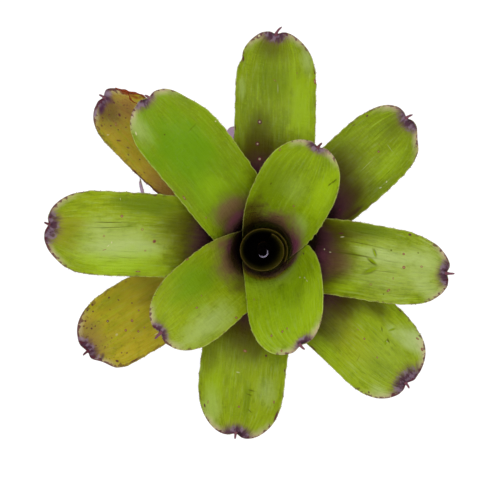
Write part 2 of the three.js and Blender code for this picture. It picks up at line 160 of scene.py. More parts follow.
LEAVES = [
    Plan(1, "green", 62, 96.5, 196, 76, 69, 0, 0, 4.0, -1.2, 18, 64, 4.6, 0.8, 0.0, -0.2, 0.9),
    Plan(2, "green", 306.5, 83.5, 190, 78, 77, -21, -2, 4.5, 1.5, 2, 40, 5.0, 1.0, 0.0, 0.35, 1.0),
    Plan(3, "green", 217, 112, 184, 80, 69, 4, 0, 6.0, 1.0, 28, 50, 5.0, -1, 0.1, 0.0, 0.8),
    Plan(4, "green", 125, 159.5, 172, 78, 67, 7, -1, 3.2, 2.0, 37, 50, 6.0, 4, 0.0, -0.2, 0.9),
    Plan(5, "green", 353.5, 157, 148, 88, 65, -4, 1, 6.5, 0.6, 64, 44, 6.5, 1, 0.1, 0.0, 2.0),
    Plan(6, "green", 171, 184.5, 140, 88, 71, 10, -2.5, 4.0, -1.0, 68, 50, 8.5, 0, 0.15, 0.1, 1.5),
    Plan(7, "green", 83.5, 184, 132, 92, 70, 8.5, 2, 7.0, -4.5, 84, 56, 6.5, 3, 0.1, -0.3, 1.2),
    Plan(8, "green", 258, 160.5, 118, 96, 76, 8, 1, 5.0, 0.4, 72, 56, 7.0, 3, 0.1, -0.1, 1.4),
    Plan(9, "green", 41.5, 168, 112, 94, 64, 1.5, 2, 6.0, -1.8, 92, 60, 7.5, -1, 0.1, -0.4, 1.3),
    Plan(10, "green", 320, 171, 96, 96, 78, -6, -4, 5.0, -1.5, 82, 56, 9.0, -3, 0.15, 0.3, 1.5),
    Plan(11, "olive", 136.5, 192, 84, 94, 57, 0, 0, 5.0, 1.5, 60, 56, 5.5, 2, 1.0, 0.0, 0.9),
    Plan(12, "olive", 207.5, 181, 66, 98, 66, 4.5, 4, 6.0, 1.2, 60, 56, 7.5, 3, 0.95, 0.1, 0.9),
    Plan(13, "old", 101, 113, 4, 152, 46, 0, 0, 1.0, 1.0, 30, 56, 0.8, 4, 0.0, 0.0, 1.0),
    Plan(14, "old", 156.5, 124, 4, 152, 34, 0, 0, 1.0, 1.0, 30, 56, 0.8, -10, 0.0, 0.0, 1.0),
]


class Mark:
    """One spot or soft cloud of colour on a leaf, in millimetres and degrees.

    back is how far it lies from the leaf's end and aside how far to the left of the midrib, seen from the
    plant's axis. length and width are half of its own, and turn is the angle from the leaf's length to
    its own.
    """

    def __init__(self, look, back, aside, length, width=None, turn=0, strength=1.0):
        self.look = look
        self.back = back
        self.aside = aside
        self.length = length
        self.width = width or length
        self.turn = math.radians(turn)
        self.strength = strength


def marks(*groups):
    """Marks in order, from groups that each give a look and the other values of all its marks."""
    return [Mark(look, *values) for look, *rows in groups for values in rows]


# The marks on each leaf: first its clouds, which lie under the throat and the tip, and then its small marks.
# The wax clouds are pale bloom together with painted sheen.
MARKS = {
    1: marks(
        ("deep", (52, 18, 34, 20, 0, 0.6)), ("lime", (40, -20, 46, 13, 0, 0.6)),
        ("wax_and_sheen", (46, 2, 22, 18, 0, 0.1), (80, -18, 22, 12, 0, 0.3)), ("mauve", (110, 0, 46, 50)),
        ("brown", (108, 28, 54, 26)), ("flush", (107, -26, 26, 18)),
        ("scar", (62.5, -5, 1.3), (18.5, 27, 1.7, 0.9)), ("dot", (50, 20.5, 2.2, 1)),
        ("dent", (21, -25, 4.5, 1.2, 20), (25, -23, 3.5, 1.0, 15)),
    ),
    # Leaf 2: near the tube, the lime cloud 84 mm back and the olive, fringe, cream and wax clouds are painted
    # light over the tube's shade. The thin night cloud is a painted shadow along the edge of leaf 1.
    2: marks(
        ("verdant", (52, 0, 46, 34, 0, 0.25)),
        ("lime", (34, 20, 30, 18, 0, 0.2), (84, -12, 26, 40, 0, 0.8)),
        ("olive", (110, -14, 20, 60, 0, 0.9)),
        ("fringe", (114, -24, 12, 22, 0, 0.15), (114, 0, 12, 16, 0, 0.5)),
        ("cream", (88, 2, 12, 14, 0, 0.25)), ("wax_and_sheen", (84, -8, 26, 38, 0, 0.12)),
        ("plum", (99, 14, 28, 10, -38, 0.9), (128, -10, 16, 60, 0, 0.9)),
        ("night", (96, 19.5, 15, 2.0, -39, 0.6)),
        ("fleck", (52, 18.8, 2.6, 0.6, -15), (46, 20.8, 2.2, 0.4, -12), (58, 14, 1.5, 0.7, -20)),
        ("scar", (21, -6.5, 1.0), (21, -11.2, 1.3), (23, -21.4, 1.3), (8, -17.6, 1.2),
            (63.5, -30.5, 1.8, 1.2, 0, 0.5)),
        ("spot", (77, 27.6, 2.2, 1.2)),
    ),
    3: marks(
        ("wax_and_sheen", (40, 20, 38, 17, 0, 0.45)), ("verdant", (52, -16, 36, 26, 0, 0.7)),
        ("deep", (74, -6, 26, 24, 0, 0.3)), ("mauve", (106, -10, 36, 38, 0, 0.9)),
        ("brown", (96, 14, 24, 18, 0, 0.6)), ("violet", (118, -10, 24, 30, 0, 0.7)),
        ("flush", (112, -22, 14, 9, 0, 0.6)), ("dust", (98, -27, 14, 8, 0, 0.6)),
        ("scar", (40.5, 3, 1.5, 1.0, 20), (60.5, 31.5, 1.4), (56.5, -33.5, 1.8, 1.0), (50.5, -2, 0.8)),
    ),
    4: marks(
        ("verdant", (64, 4, 80, 40, 0, 0.9)), ("wax_and_sheen", (18, 22, 24, 11, 0, 0.4)),
        ("lime", (96, 2, 30, 24, 0, 0.35)),
        ("brown", (118, -4, 24, 34, 0, 0.35), (112, -30, 24, 10, 0, 0.6)),
        ("mauve", (124, 4, 20, 26, 0, 0.7)), ("dust", (122, 0, 14, 26, 0, 0.4)),
        ("flush", (137, 4, 12, 24, 0, 0.7)), ("scar", (86.5, 29.2, 2.8, 0.9), (111, 25, 1.6, 1.2, 0, 0.5)),
        ("fleck", (21, 25.8, 2.0, 0.7, 25), (50, -31.3, 1.0, 0.8)), ("dot", (35.5, 7.8, 1.0)),
        ("dent", (44, -13, 8, 0.8, 75, 0.5)),
    ),
    5: marks(
        ("brown", (110, 20, 28, 16, 0, 0.8)), ("shade", (82, 24, 26, 13, 0, 0.9)),
        ("wax_and_sheen", (46, 0, 56, 40, 0, 0.28)), ("deep", (66, 27, 34, 9, 0, 0.8)),
        ("wax_and_sheen", (56, 7, 40, 9, 0, 0.55), (22, 8, 26, 20, 0, 0.4), (16, -17, 20, 12, 30, 0.4)),
        ("lime", (92, -24, 30, 12, 0, 0.6)), ("mauve", (98, -2, 28, 20, 0, 0.55)),
        ("lime", (104, -22, 20, 10, 0, 0.6)), ("dust", (96, -4, 20, 18, 0, 0.3)),
        ("flush", (112, 0, 10, 12, 0, 0.3)),
        ("dent", (67.4, -7, 9.6, 3.4, -31), (66.4, 0.8, 6.4, 2.2, 27), (65, 9.2, 5.2, 2.1, 62)),
        ("groove", (52, 3.6, 12, 0.5, 0, 0.6), (78, 14.5, 20, 0.6, 2), (56, -5.5, 22, 0.5, -3, 0.6)),
        ("spot", (93.5, 20.2, 3.2, 1.0, -8, 0.8), (37.2, 30, 2.0, 1.4)),
        ("fleck", (92.5, 17.4, 2.2, 0.5, -12), (108.6, 5.6, 0.7), (103, 3.6, 1.4, 0.5)),
        ("dot", (51.5, 13.2, 1.2), (28.6, 15.6, 0.9), (53.6, -24.6, 1.0)),
        ("scar", (40.8, 12, 1.3), (39.4, 0.8, 1.7), (24.8, 3.8, 1.4, 1.4, 0, 0.7), (50, -21, 2.3, 1.1, -50),
            (47.2, -10, 0.9, 1.4, 0, 0.6), (65, -18, 1.8, 1.8, 0, 0.35)),
        ("blister", (66.2, -5.8, 8.8, 2.3, -31), (66, 1.8, 5.8, 1.4, 27), (65, 8.4, 4.6, 1.3, 62)),
        ("groove", (84, 4.4, 30, 1.3, 0)),
    ),
    6: marks(
        ("wax_and_sheen", (62, 8, 52, 30, 0, 0.45)), ("shade", (104, -10, 26, 20, 0, 0.6)),
        ("olive", (18, 2, 20, 24, 0, 0.4)), ("deep", (20, 2, 18, 24, 0, 0.5)),
        ("wax_and_sheen", (64, 13, 38, 11, 0, 0.45)), ("lime", (70, 26, 60, 16, 0, 0.8)),
        ("deep", (82, -26, 38, 16, 0, 0.9)),
        ("groove", (56, -5, 22, 0.5, -4), (54, -9, 24, 0.5, -3), (72, 19, 16, 0.5, 3, 0.6)),
        ("scar", (86.5, 13, 1.3, 1.0, 0, 0.6), (83, 31, 2.6, 0.8), (81.4, -4.4, 1.5, 1.5, 0, 0.5),
            (62.8, -14.6, 1.5)),
        ("fleck", (57.9, 7.2, 0.7, 1.2), (55.6, 10, 1.6, 0.5, -50), (59.6, -29, 1.8, 0.5, 75, 0.7)),
        ("scar", (53.0, 13.4, 2.2, 0.6, -25, 0.7), (50.6, 2.4, 1.2, 1.2, 0, 0.6), (92.8, 4.9, 1.9)),
        ("spot", (87, -34, 2, 0.8), (92.8, 4.9, 0.9)),
    ),
    7: marks(
        ("brown", (104, 14, 32, 18, 0, 0.8)), ("shade", (86, 12, 30, 20, 0, 0.7)),
        ("lime", (64, -22, 50, 18, 0, 0.6)), ("shade", (16, 6, 18, 20, 0, 0.8)),
        ("deep", (42, 4, 26, 22, 0, 0.5)), ("wax_and_sheen", (54, 29, 14, 5, 0, 0.3), (22, -27, 20, 8, 0, 0.4)),
        ("fleck", (49, -1.8, 5.5, 0.6, -2, 0.35)),
        ("scar", (42.4, 1, 2.4, 0.6, -60, 0.7), (40.5, -34, 2.8, 1.4), (34.5, -18, 1.4, 0.7, 0, 0.5)),
        ("spot", (33.2, -33.4, 1.6, 0.9), (6.6, 17.6, 3.4, 2.6, 40), (85, 34, 3.4, 0.7),
            (27, 31.6, 4.6, 1.8, -8)),
        ("fleck", (6.2, 17, 1.8, 1.3, 40)),
        ("sore", (109, 11.5, 2.6), (96.6, 14, 2.2), (78.4, 13, 2.5, 2.3)),
    ),
    8: marks(
        ("shade", (84, -4, 34, 34, 0, 0.9)), ("lime", (36, -24, 28, 12, 0, 0.5)),
        ("wax_and_sheen", (20, -24, 26, 12, 0, 0.3)), ("deep", (30, 6, 24, 5, -3, 0.6)),
        ("wax_and_sheen", (44, 22, 18, 12, 0, 0.3)), ("shade", (62, -30, 20, 12, 0, 0.5)),
        ("scar", (73, 0, 1.5, 2.3), (36.6, 30, 1.8, 1.0), (26, 0.2, 1.2), (25, -27, 2.0, 0.8, 0, 0.6)),
        ("spot", (72.5, 18.4, 1.5), (25.5, 33.4, 8.5, 1.4, 16), (21.6, -29.4, 2.4, 1.0, -20),
            (64, 36.8, 2.2, 0.8)),
        ("fleck", (54.2, -4, 0.7, 2.2, 0, 0.5)),
        ("dent", (41.4, 9, 1.1, 4.4, 0), (37.6, 7.4, 1.0, 3.4, 12), (24.4, 10, 3.2, 0.9, -60)),
    ),
    9: marks(
        ("violet", (100, -14, 26, 22, 0, 0.8)), ("brown", (88, 2, 28, 30, 0, 0.7)),
        ("shade", (66, 12, 28, 22, 0, 0.5)), ("violet", (90, -27.4, 14, 2.6, 0, 0.9)),
        ("lime", (40, -18, 30, 12, 0, 0.4)), ("shade", (18, 4, 18, 14, 0, 0.5)),
        ("spot", (28, 27.4, 1.9, 1.2), (42, 28.6, 2.4, 0.8, 0, 0.7), (97, -17.4, 1.4)),
        ("scar", (40.8, -2.6, 1.4), (36.4, 1.2, 0.9, 0.5, 0, 0.6)),
        ("fleck", (60, -25.6, 1.6, 0.6, 20, 0.8), (53, -25.4, 1.2, 0.7, -40), (31.6, -7, 0.4, 5.5, 8, 0.3),
            (56, -4, 9, 0.35, 0, 0.25)),
    ),
    10: marks(
        ("shade", (80, -14, 24, 30, 0, 0.45)), ("wax_and_sheen", (32, 0, 36, 50, 0, 0.1)),
        ("brown", (96, 10, 34, 18, -10)), ("shade", (68, 26, 22, 14, 0, 0.9)),
        ("deep", (30, -10, 22, 12, 0, 0.35)), ("wax_and_sheen", (20, 28, 30, 14, -15)),
        ("cream", (14, 30, 14, 8, -20, 0.5)), ("wax_and_sheen", (16, -26, 16, 9, 0, 0.5)),
        ("olive", (66, -10, 34, 24, 0, 0.12)), ("lime", (84, -30, 24, 10, 0, 0.6)),
        ("fleck", (40.6, 10.4, 0.7)),
        ("scar", (56.6, -0.8, 1.2), (66, 0.8, 1.1, 0.6), (37.8, -4.6, 1.2, 0.7), (23.4, 30, 1.8, 1.0),
            (14.2, 25.6, 2.2, 1.2, 30)),
        ("spot", (25.2, -31.8, 1.4, 1.0), (50, 37.6, 3.0, 0.9), (84, -38, 4.0, 1.4, 0, 0.8)),
        ("dent", (40, 12, 3.4, 1.4, 20), (50.6, 15, 4.0, 1.2, 30, 0.8), (50, -17, 5, 0.9, 80, 0.4)),
        ("blister", (41, 9.2, 3.0, 1.2, 60), (44, 21, 4.4, 1.0, -60)),
    ),
    11: marks(
        ("mauve", (14, 2, 30, 30, 0, 0.6)), ("brown", (12, 8, 22, 22, 0, 0.6)),
        ("shade", (46, 8, 44, 30, 0, 0.25)), ("rust", (26, -10, 18, 14, 0, 0.3)),
        ("mauve", (100, 4, 24, 30, 0, 0.7)), ("rust", (96, 20, 30, 16, 0, 0.5)),
        ("bruise", (8, 9, 7.5, 4.5, 60), (9, -2, 5, 4, 0, 0.6)),
        ("lilac", (4, -5, 5.5, 3.6, -50, 0.9), (6.6, 15.4, 6.5, 1.9, 62)),
        ("husk", (10, -18.5, 9, 3.2, -30, 0.9), (20, -22, 9, 2.4, -15, 0.8)),
        ("spot", (38.2, 18.4, 3.2, 1.1, -38, 0.85), (48.4, 17, 2.0, 1.0, -20, 0.7),
            (53, 21, 1.7, 1.0, 0, 0.7), (34.4, 5.8, 1.1, 1.1, 0, 0.7), (22.6, 2, 2.4, 1.5, 20),
            (18.4, 19.4, 1.6, 1.3, 0, 0.8), (28.4, 0, 1.1, 1.1, 0, 0.8), (74, 22.4, 1.8, 0.8, 0, 0.6),
            (68, 27.6, 4.5, 0.9), (86, 28, 4.5, 0.8), (80, 28, 20, 1.3, 0, 0.9),
            (100, 28.2, 16, 3.0, 0, 0.95), (12, -3, 1.4, 0.9, 30), (16, 8, 1.0), (14, 14, 1.3, 0.8)),
        ("fleck", (28, 21.4, 1.5, 0.7, -50, 0.7)), ("scar", (26, 10, 2.0, 1.2, 40, 0.5)),
        ("spot", (24, 14, 0.9), (31, 12, 1.1, 0.8), (44, 3, 0.8), (58, 10, 0.9, 0.8), (63, 17, 1.2, 0.8)),
    ),
    12: marks(
        ("shade", (66, -24, 50, 18, 0, 0.35)), ("mauve", (10, -4, 22, 36, 0, 0.5)),
        ("deep", (40, -8, 40, 30, 0, 0.2)), ("brown", (84, -6, 26, 30, 0, 0.5)),
        ("lilac", (4, -9, 5, 2.6, 30, 0.8)), ("bruise", (11, 17, 8, 3.0, -45, 0.8)),
        ("lilac", (8, 15, 5, 1.4, -45, 0.7)),
        ("scar", (52.4, 0.4, 1.6), (43.4, 4.6, 1.5), (53.2, 10.8, 1.3), (59.6, 10.6, 0.9), (62, -4, 1.1)),
        ("spot", (35.8, 22, 1.4, 1.0, 0, 0.8), (31.4, 19.6, 1.0, 1.0, 0, 0.8), (51, -20, 0.8, 1.5, -20),
            (28.8, -29.4, 1.5, 2.0), (17, -12, 1.3), (20.8, -12, 0.9), (15.6, -20.4, 1.3),
            (40, -17, 1.0, 1.0, 0, 0.6), (19.6, 8, 0.9), (24, 24.6, 2.6, 1.6, 30), (39, 31.5, 7, 1.0),
            (12, -17, 1.1), (26, -24, 1.1), (22, -27.5, 1.4, 0.9), (45, -26, 1.6, 1.2), (47, 14, 0.8),
            (29, 4, 0.8), (60, -12, 0.9), (13, 3, 0.9)),
        ("sore", (32.8, -10, 1.4)), ("fleck", (34.4, 3.6, 1.6, 1.2, 0, 0.5), (67, 20.6, 2.8, 0.5, 0, 0.8)),
    ),
}

# Where a margin stands in from the smooth outline. Here width is how far, and turn the way it goes.
BITES = {
    4: marks(("bite", (20, -28, 16, 3.2, 70), (56, -33, 26, -2.0, 90))),
    5: marks(
        ("bite", (22, 28, 15, 2.2, -60), (8, 18, 9, 1.3, -30), (28, -30, 16, 2.2, 80),
            (90, 31, 26, -1.2, -90), (8, -22, 12, 1.5, 60)),
    ),
    6: marks(("bite", (60, 36, 40, -2.8, -90), (12, 26, 13, 1.6, -50))),
    7: marks(
        ("bite", (28, 33, 14, 1.6, -75), (27, 33, 4, 1.6, -80), (80, -34, 40, -0.8, 90),
            (8, -20, 14, 1.2, 45), (12, 22, 14, 1.4, -50)),
    ),
    8: marks(("bite", (4, 14, 12, -1.4, 0), (4, -12, 12, -0.8, 0))),
    9: marks(("bite", (24, 28, 16, 1.6, -70), (8, -18, 9, 2.8, 45), (60, -31, 36, -2.4, 90))),
    10: marks(("bite", (50, 38, 30, -1.7, -90), (12, 30, 18, -2.0, -60))),
    11: marks(
        ("bite", (12, -23, 13, 5.2, 45), (1, -5, 9, -3.0, 0), (70, 27, 26, -1.2, -90),
            (32, -28, 12, 2.4, 85)),
    ),
    12: marks(("bite", (9, 21, 12, 5.0, -45), (56, -33, 30, -2.8, 90))),
}

# The old leaves' ends have dried. length is how much of the leaf is drawn in, down to its finger. narrow is
# how much narrower the finger is, and over how far it lies to the left. hook is the part that bends, and
# aside and along are how far it does so.
SHRUNK = {
    13: SimpleNamespace(
        length=44 * MM, finger=8 * MM, narrow=0.45, over=3.5 * MM, hook=18 * MM, aside=-1 * MM,
        along=2.5 * MM,
    ),
    14: SimpleNamespace(
        length=60 * MM, finger=24 * MM, narrow=0.76, over=5 * MM, hook=20 * MM, aside=-20 * MM,
        along=7 * MM,
    ),
}

# Dried strands along a bitten margin: places on the flat leaf, as back and aside, and a radius.
STRANDS = {
    11: [
        ([(3.5, -14), (6, -17.3), (9, -20.3), (13, -23), (18, -25.4), (24, -27.2), (29, -27.8)], 1.3),
        ([(11, -21.2), (14.5, -19.4), (19, -16.9), (23, -16.4), (26.5, -17.8)], 0.9),
    ],
}

CRINKLE = SimpleNamespace(
    margin=0.5 * MM, margin_length=9 * MM, margin_seed=30, margin_from=0.75, grown_by=1.5,
    end=0.7 * MM, end_zone=7 * MM, end_seed=50,
    pucker=0.11 * MM, pucker_length=24 * MM, pucker_width=6.5 * MM, pucker_seed=70,
    ripple_length=45 * MM, ripple_width=38 * MM,
)
# How deep these marks go into the leaf's form, and the finest width that its faces can follow, in
# millimetres.
PRESSED = {"dent": 0.9, "groove": 0.5, "blister": -0.8}
FINEST_PRESSED = 1.3

# lit_side, lit_depth and lit_share place the painted light on the inside of the tube.
HEART = SimpleNamespace(
    columns=240, rows=70, foot_depth=1 * MM, rim_slant=3 * MM, roll=math.radians(455),
    start=math.radians(-30), pitch=3.2 * MM, squeeze=0.92, shift=(-0.8 * MM, -1.3 * MM), crowding=1.25,
    lit_side=math.radians(-10), lit_depth=(26 * MM, 52 * MM), lit_share=(0.35, 0.8),
)

BUD = SimpleNamespace(
    columns=90, rows=36, wall=1.3 * MM, radius=2.4 * MM, height=27 * MM, roll=math.radians(338),
    start=math.radians(115), shift=(-0.7 * MM, -3.4 * MM), slant=3.5 * MM, high_side=math.radians(-58),
    flare=0.6 * MM,
)

FLOOR = SimpleNamespace(radius=12.0, corners=64, own_glow=0.8)
LIGHTS = SimpleNamespace(distance=1.9, aim_height=0.1, size=1.0, sheen_size=0.35)

# Each light's name, azimuth, elevation and share of the power.
FILL_LIGHTS = [
    ("left_light", 180, 34, 0.14), ("near_left_light", 228, 30, 0.08), ("near_light", 275, 40, 0.09),
    ("near_right_light", 318, 36, 0.08), ("right_light", 0, 36, 0.09), ("far_right_light", 45, 32, 0.04),
    ("far_light", 92, 40, 0.12), ("top_light", 90, 87, 0.36),
]
SHEEN_LIGHTS = [("far_sheen", 75, 42, 0.5), ("top_sheen", 95, 80, 0.5)]

# The width of the image in pixels, and how far the plant's axis lies right of its middle and above it.
IMAGE_WIDTH = 500
AXIS_RIGHT = 14
AXIS_UP = 1


def linear(code):
    """The linear colour of a six-digit web colour."""
    parts = [int(code[i : i + 2], 16) / 255 for i in (0, 2, 4)]
    return tuple(((c + 0.055) / 1.055) ** 2.4 if c > 0.04045 else c / 12.92 for c in parts)


# ---------------------------------------------------------------- settings


def number(name, description, default, unit="NONE"):
    return FloatProperty(name=name, description=description, default=default, min=0, precision=5, unit=unit)


def length(name, description, default):
    return number(name, description, default, "LENGTH")


def tint(name, description, code):
    return FloatVectorProperty(
        name=name, description=description, default=linear(code), min=0, max=1, size=3, subtype="COLOR"
    )


class BladeSettings(bpy.types.PropertyGroup):
    """Sizes that all the leaves share."""

    thickness: length("Thickness", "Thickness along the middle of a blade", 1.5 * MM)
    margin: length("Margin thickness", "Thickness just inside the margin", 0.8 * MM)
    channel: length("Channel radius", "Radius of the blade's cross-section", 84 * MM)
    notch: length("Notch depth", "How deep the notch at the tip is", 2.8 * MM)
    thorn: length("Thorn height", "How far a marginal thorn stands out", 0.8 * MM)
    thorn_gap: length("Thorn spacing", "Distance between marginal thorns", 4.2 * MM)
    ripple: length("Ripple", "Height of the blade's broad uneven waves", 0.35 * MM)
    columns: IntProperty(name="Columns", description="Faces across a leaf", default=60, min=16)
    rows: IntProperty(name="Rows", description="Faces along a leaf", default=168, min=40)


class LeafTints(bpy.types.PropertyGroup):
    """Colours of the leaves."""

    green: tint("Green", "Young and grown blades", "8aa408")
    verdant: tint("Bright green", "The freshest stretches", "649204")
    deep: tint("Deep green", "Darker clouds in the green", "627806")
    lime: tint("Lime", "Lighter stretches of the green", "a6c80e")
    olive: tint("Olive", "Older blades", "c4a628")
    old: tint("Old", "Drooping old leaves", "d6aeda")
    shade: tint("Dull green", "Where the green darkens before it turns", "545408")
    brown: tint("Brown olive", "Where the green turns into the purple of the throat", "443606")
    mauve: tint("Mauve", "The dusty edge of the throat", "80544a")
    violet: tint("Violet", "The outer part of the throat", "50263a")
    plum: tint("Plum", "The flush in the throats of the inner leaves", "82405e")
    night: tint("Night purple", "The deepest part of the throat", "180a0e")
    patch: tint("Tip purple", "The patch at the tip", "4c2444")
    # Also paints highlights on the tip's patch, along with its real bloom.
    bloom: tint("Tip lavender", "The paler bloom on the patch", "9c8498")
    cream: tint("Cream", "The pale band round the patch", "d0c494")
    fringe: tint("Fringe", "The pinkish margin near the tip", "c88ca0")
    maroon: tint("Maroon", "Flecks on the margins and the thorns", "5c2432")
    # Wax and sheen: the thin pale bloom, and also painted sheen, pale washes laid where light glances off the
    # blades.
    wax_and_sheen: tint("Wax", "The thin pale bloom on a blade", "bed082")
    rim: tint("Rim", "The thin pale line along the margin", "c2c66a")
    rust: tint("Rust", "Small scars", "8a4434")
    ember: tint("Ember", "The driest, curled edges", "8e3c16")
    pale: tint("Pale scar", "Scratches and the middle of scars", "d9d2a4")
    sheath: tint("Sheath", "The pale outside of the sheaths", "a79a6a")


class HeartSettings(bpy.types.PropertyGroup):
    """Sizes and colours of the rolled leaves in the heart."""

    wall: length("Wall", "Thickness of the rolled leaf", 0.95 * MM)
    radius: length("Mouth radius", "Outside radius of the tube's mouth", 21.6 * MM)
    rim_height: length("Rim height", "Height of the tube's rim", 121 * MM)
    lip: tint("Tube lip", "The thin line round the tube's mouth", "44360c")
    # The colour of the painted light on the inside of the tube.
    lit_wall_tint: tint("Tube wall", "The inside of the tube", "8a801e")
    # The pale lip of the newest leaf is a painted highlight.
    bud: tint("Newest leaf", "The pale lip of the newest leaf", "c4bad6")


class StemSettings(bpy.types.PropertyGroup):
    """Sizes and colours of the stem and its trimmed roots."""

    cut_radius: length("Cut radius", "Radius of the flat face that the plant stands on", 18 * MM)
    bevel: length("Bevel", "Worn edge of the cut face", 1.6 * MM)
    neck_radius: length("Neck radius", "Radius of the bare stub", 21 * MM)
    neck_height: length("Neck height", "Height of the bare stub", 6 * MM)
    apex: length("Apex height", "Height of the growing point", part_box("stem")[1].z)
    bark: tint("Bark", "The stub's bark", "6a4a30")
    pith: tint("Pith", "The cut face", "b59a6c")
    root: tint("Root", "The trimmed roots", "4a3222")


class StageSettings(bpy.types.PropertyGroup):
    """The floor, the lights and the camera."""

    field: length("Field", "Width of the image at the focus height", 425 * MM)
    focus: length("Focus height", "Height above the floor at which the field is measured", 110 * MM)
    distance: length("Distance", "From the focus height up to the camera", 1.9)
    fill: number("Soft lights", "Power of all the soft lights", 47.5, "POWER")
    sheen: number("Sheen lights", "Power of all the sheen lights", 1.6, "POWER")
    sky: number("Sky", "Brightness of the light from all round", 0.08)
    glow: number("Floor glow", "Brightness of the floor as the camera sees it", 1.2)
    floor: tint("Floor", "The floor and the backdrop", "fcfcfc")


# ---------------------------------------------------------------- numbers and meshes


def lerp(a, b, share):
    return a + (b - a) * share


def smooth(x, low, high):
    share = np.clip((x - low) / (high - low), 0, 1)
    return share * share * (3 - 2 * share)


def bell(x):
    return np.exp(-np.square(x))


def unit(vectors):
    return vectors / np.linalg.norm(vectors, axis=-1, keepdims=True)


def around(radius, angle, z):
    parts = np.broadcast_arrays(radius * np.cos(angle), radius * np.sin(angle), z)
    return np.stack(parts, -1)


def waves(seed, x, y, length_x, length_y, count=6):
    """Smooth uneven waves of about unit height over a plane."""
    draw = np.random.default_rng(seed)
    total = np.zeros(np.broadcast(x, y).shape)
    for _ in range(count):
        turns = draw.uniform(0.5, 1.2, 2) * draw.choice([-1, 1], 2)
        phase = draw.uniform(0, 2 * math.pi)
        total += np.sin(2 * math.pi * (turns[0] * x / length_x + turns[1] * y / length_y) + phase)
    return total / math.sqrt(count)


class Build:
    """Collects the closed shells of one piece, with the fields that its material reads."""

    def __init__(self):
        self.points = []
        self.faces = []
        self.fields = {}
        self.count = 0

    def add(self, points, faces, **fields):
        """Adds a shell. A field is one value for all its points, or one for each."""
        points = np.asarray(points, float).reshape(-1, 3)
        self.points.append(points)
        self.faces.extend([tuple(int(i) + self.count for i in face) for face in faces])
        for name, value in fields.items():
            value = np.asarray(value, float)
            shape = (len(points), 3) if name in VECTOR_FIELDS else (len(points),)
            self.fields.setdefault(name, []).append(np.broadcast_to(value, shape))
        self.count += len(points)

    def piece(self, name, material, node, slot):
        """The finished object, riding on the plant and standing for its node."""
        mesh = bpy.data.meshes.new(name)
        mesh.from_pydata(np.concatenate(self.points).tolist(), [], self.faces)
        for key, parts in self.fields.items():
            values = np.concatenate(parts).astype(np.float32)
            if values.ndim == 2:
                mesh.attributes.new(key, "FLOAT_VECTOR", "POINT").data.foreach_set("vector", values.ravel())
            else:
                mesh.attributes.new(key, "FLOAT", "POINT").data.foreach_set("value", values)
        if mesh.validate():
            raise RuntimeError(f"{name}: the mesh had faulty faces")
        mesh.shade_smooth()
        mesh.materials.append(material)
        piece = bpy.data.objects.new(name, mesh)
        bpy.context.scene.collection.objects.link(piece)
        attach(piece, "root")
        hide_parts(node)
        return piece


def shell_faces(rows, columns):
    """Faces of a closed shell of two grids that share their border points.

    The first rows * columns points are the upper grid, and the rest are the inner points of the lower one.
    """
    upper = np.arange(rows * columns).reshape(rows, columns)
    lower = upper.copy()
    inner = (rows - 2) * (columns - 2)
    lower[1:-1, 1:-1] = np.arange(rows * columns, rows * columns + inner).reshape(rows - 2, columns - 2)

    def quads(grid):
        corners = grid[:-1, :-1], grid[1:, :-1], grid[1:, 1:], grid[:-1, 1:]
        return np.stack(corners, -1).reshape(-1, 4)

    return np.concatenate([quads(upper), quads(lower)[:, ::-1]])


def shell_points(upper, lower):
    """Values of the two grids, in the order that shell_faces uses."""
    tail = upper.shape[2:]
    return np.concatenate([upper.reshape(-1, *tail), lower[1:-1, 1:-1].reshape(-1, *tail)])


def tube(centres, radii, sides):
    """A closed tube along a line of points that is nowhere upright, with flat ends."""
    centres = np.asarray(centres, float)
    ways = unit(np.gradient(centres, axis=0))
    first = unit(np.cross(ways, NEARLY_UP))
    second = np.cross(ways, first)
    angles = (np.arange(sides) * 2 * math.pi / sides)[None, :, None]
    ring = np.cos(angles) * first[:, None] + np.sin(angles) * second[:, None]
    points = centres[:, None] + ring * np.asarray(radii, float)[:, None, None]
    last = len(centres) - 1
    faces = []
    for i in range(last):
        for j in range(sides):
            k = (j + 1) % sides
            faces.append((i * sides + j, (i + 1) * sides + j, (i + 1) * sides + k, i * sides + k))
    faces.append(tuple(range(sides)))
    faces.append(tuple(last * sides + j for j in reversed(range(sides))))
    return points.reshape(-1, 3), faces


# ---------------------------------------------------------------- shaders


class Wire:
    """One output of a material's nodes. Arithmetic adds Math nodes, or Vector Math nodes for vectors."""

    def __init__(self, shader, socket):
        self.shader = shader
        self.socket = socket

    def combine(self, operation, a, b):
        def spatial(x):
            return isinstance(x, tuple) or (isinstance(x, Wire) and x.socket.type == "VECTOR")

        kind = "VectorMath" if spatial(a) or spatial(b) else "Math"
        return self.shader.node(kind, {"operation": operation}, {0: a, 1: b})

    def __add__(self, other):
        return self.combine("ADD", self, other)

    def __sub__(self, other):
        return self.combine("SUBTRACT", self, other)

    def __mul__(self, other):
        return self.combine("MULTIPLY", self, other)

    def __radd__(self, other):
        return self.combine("ADD", other, self)

    def __rsub__(self, other):
        return self.combine("SUBTRACT", other, self)

    def __rmul__(self, other):
        return self.combine("MULTIPLY", other, self)


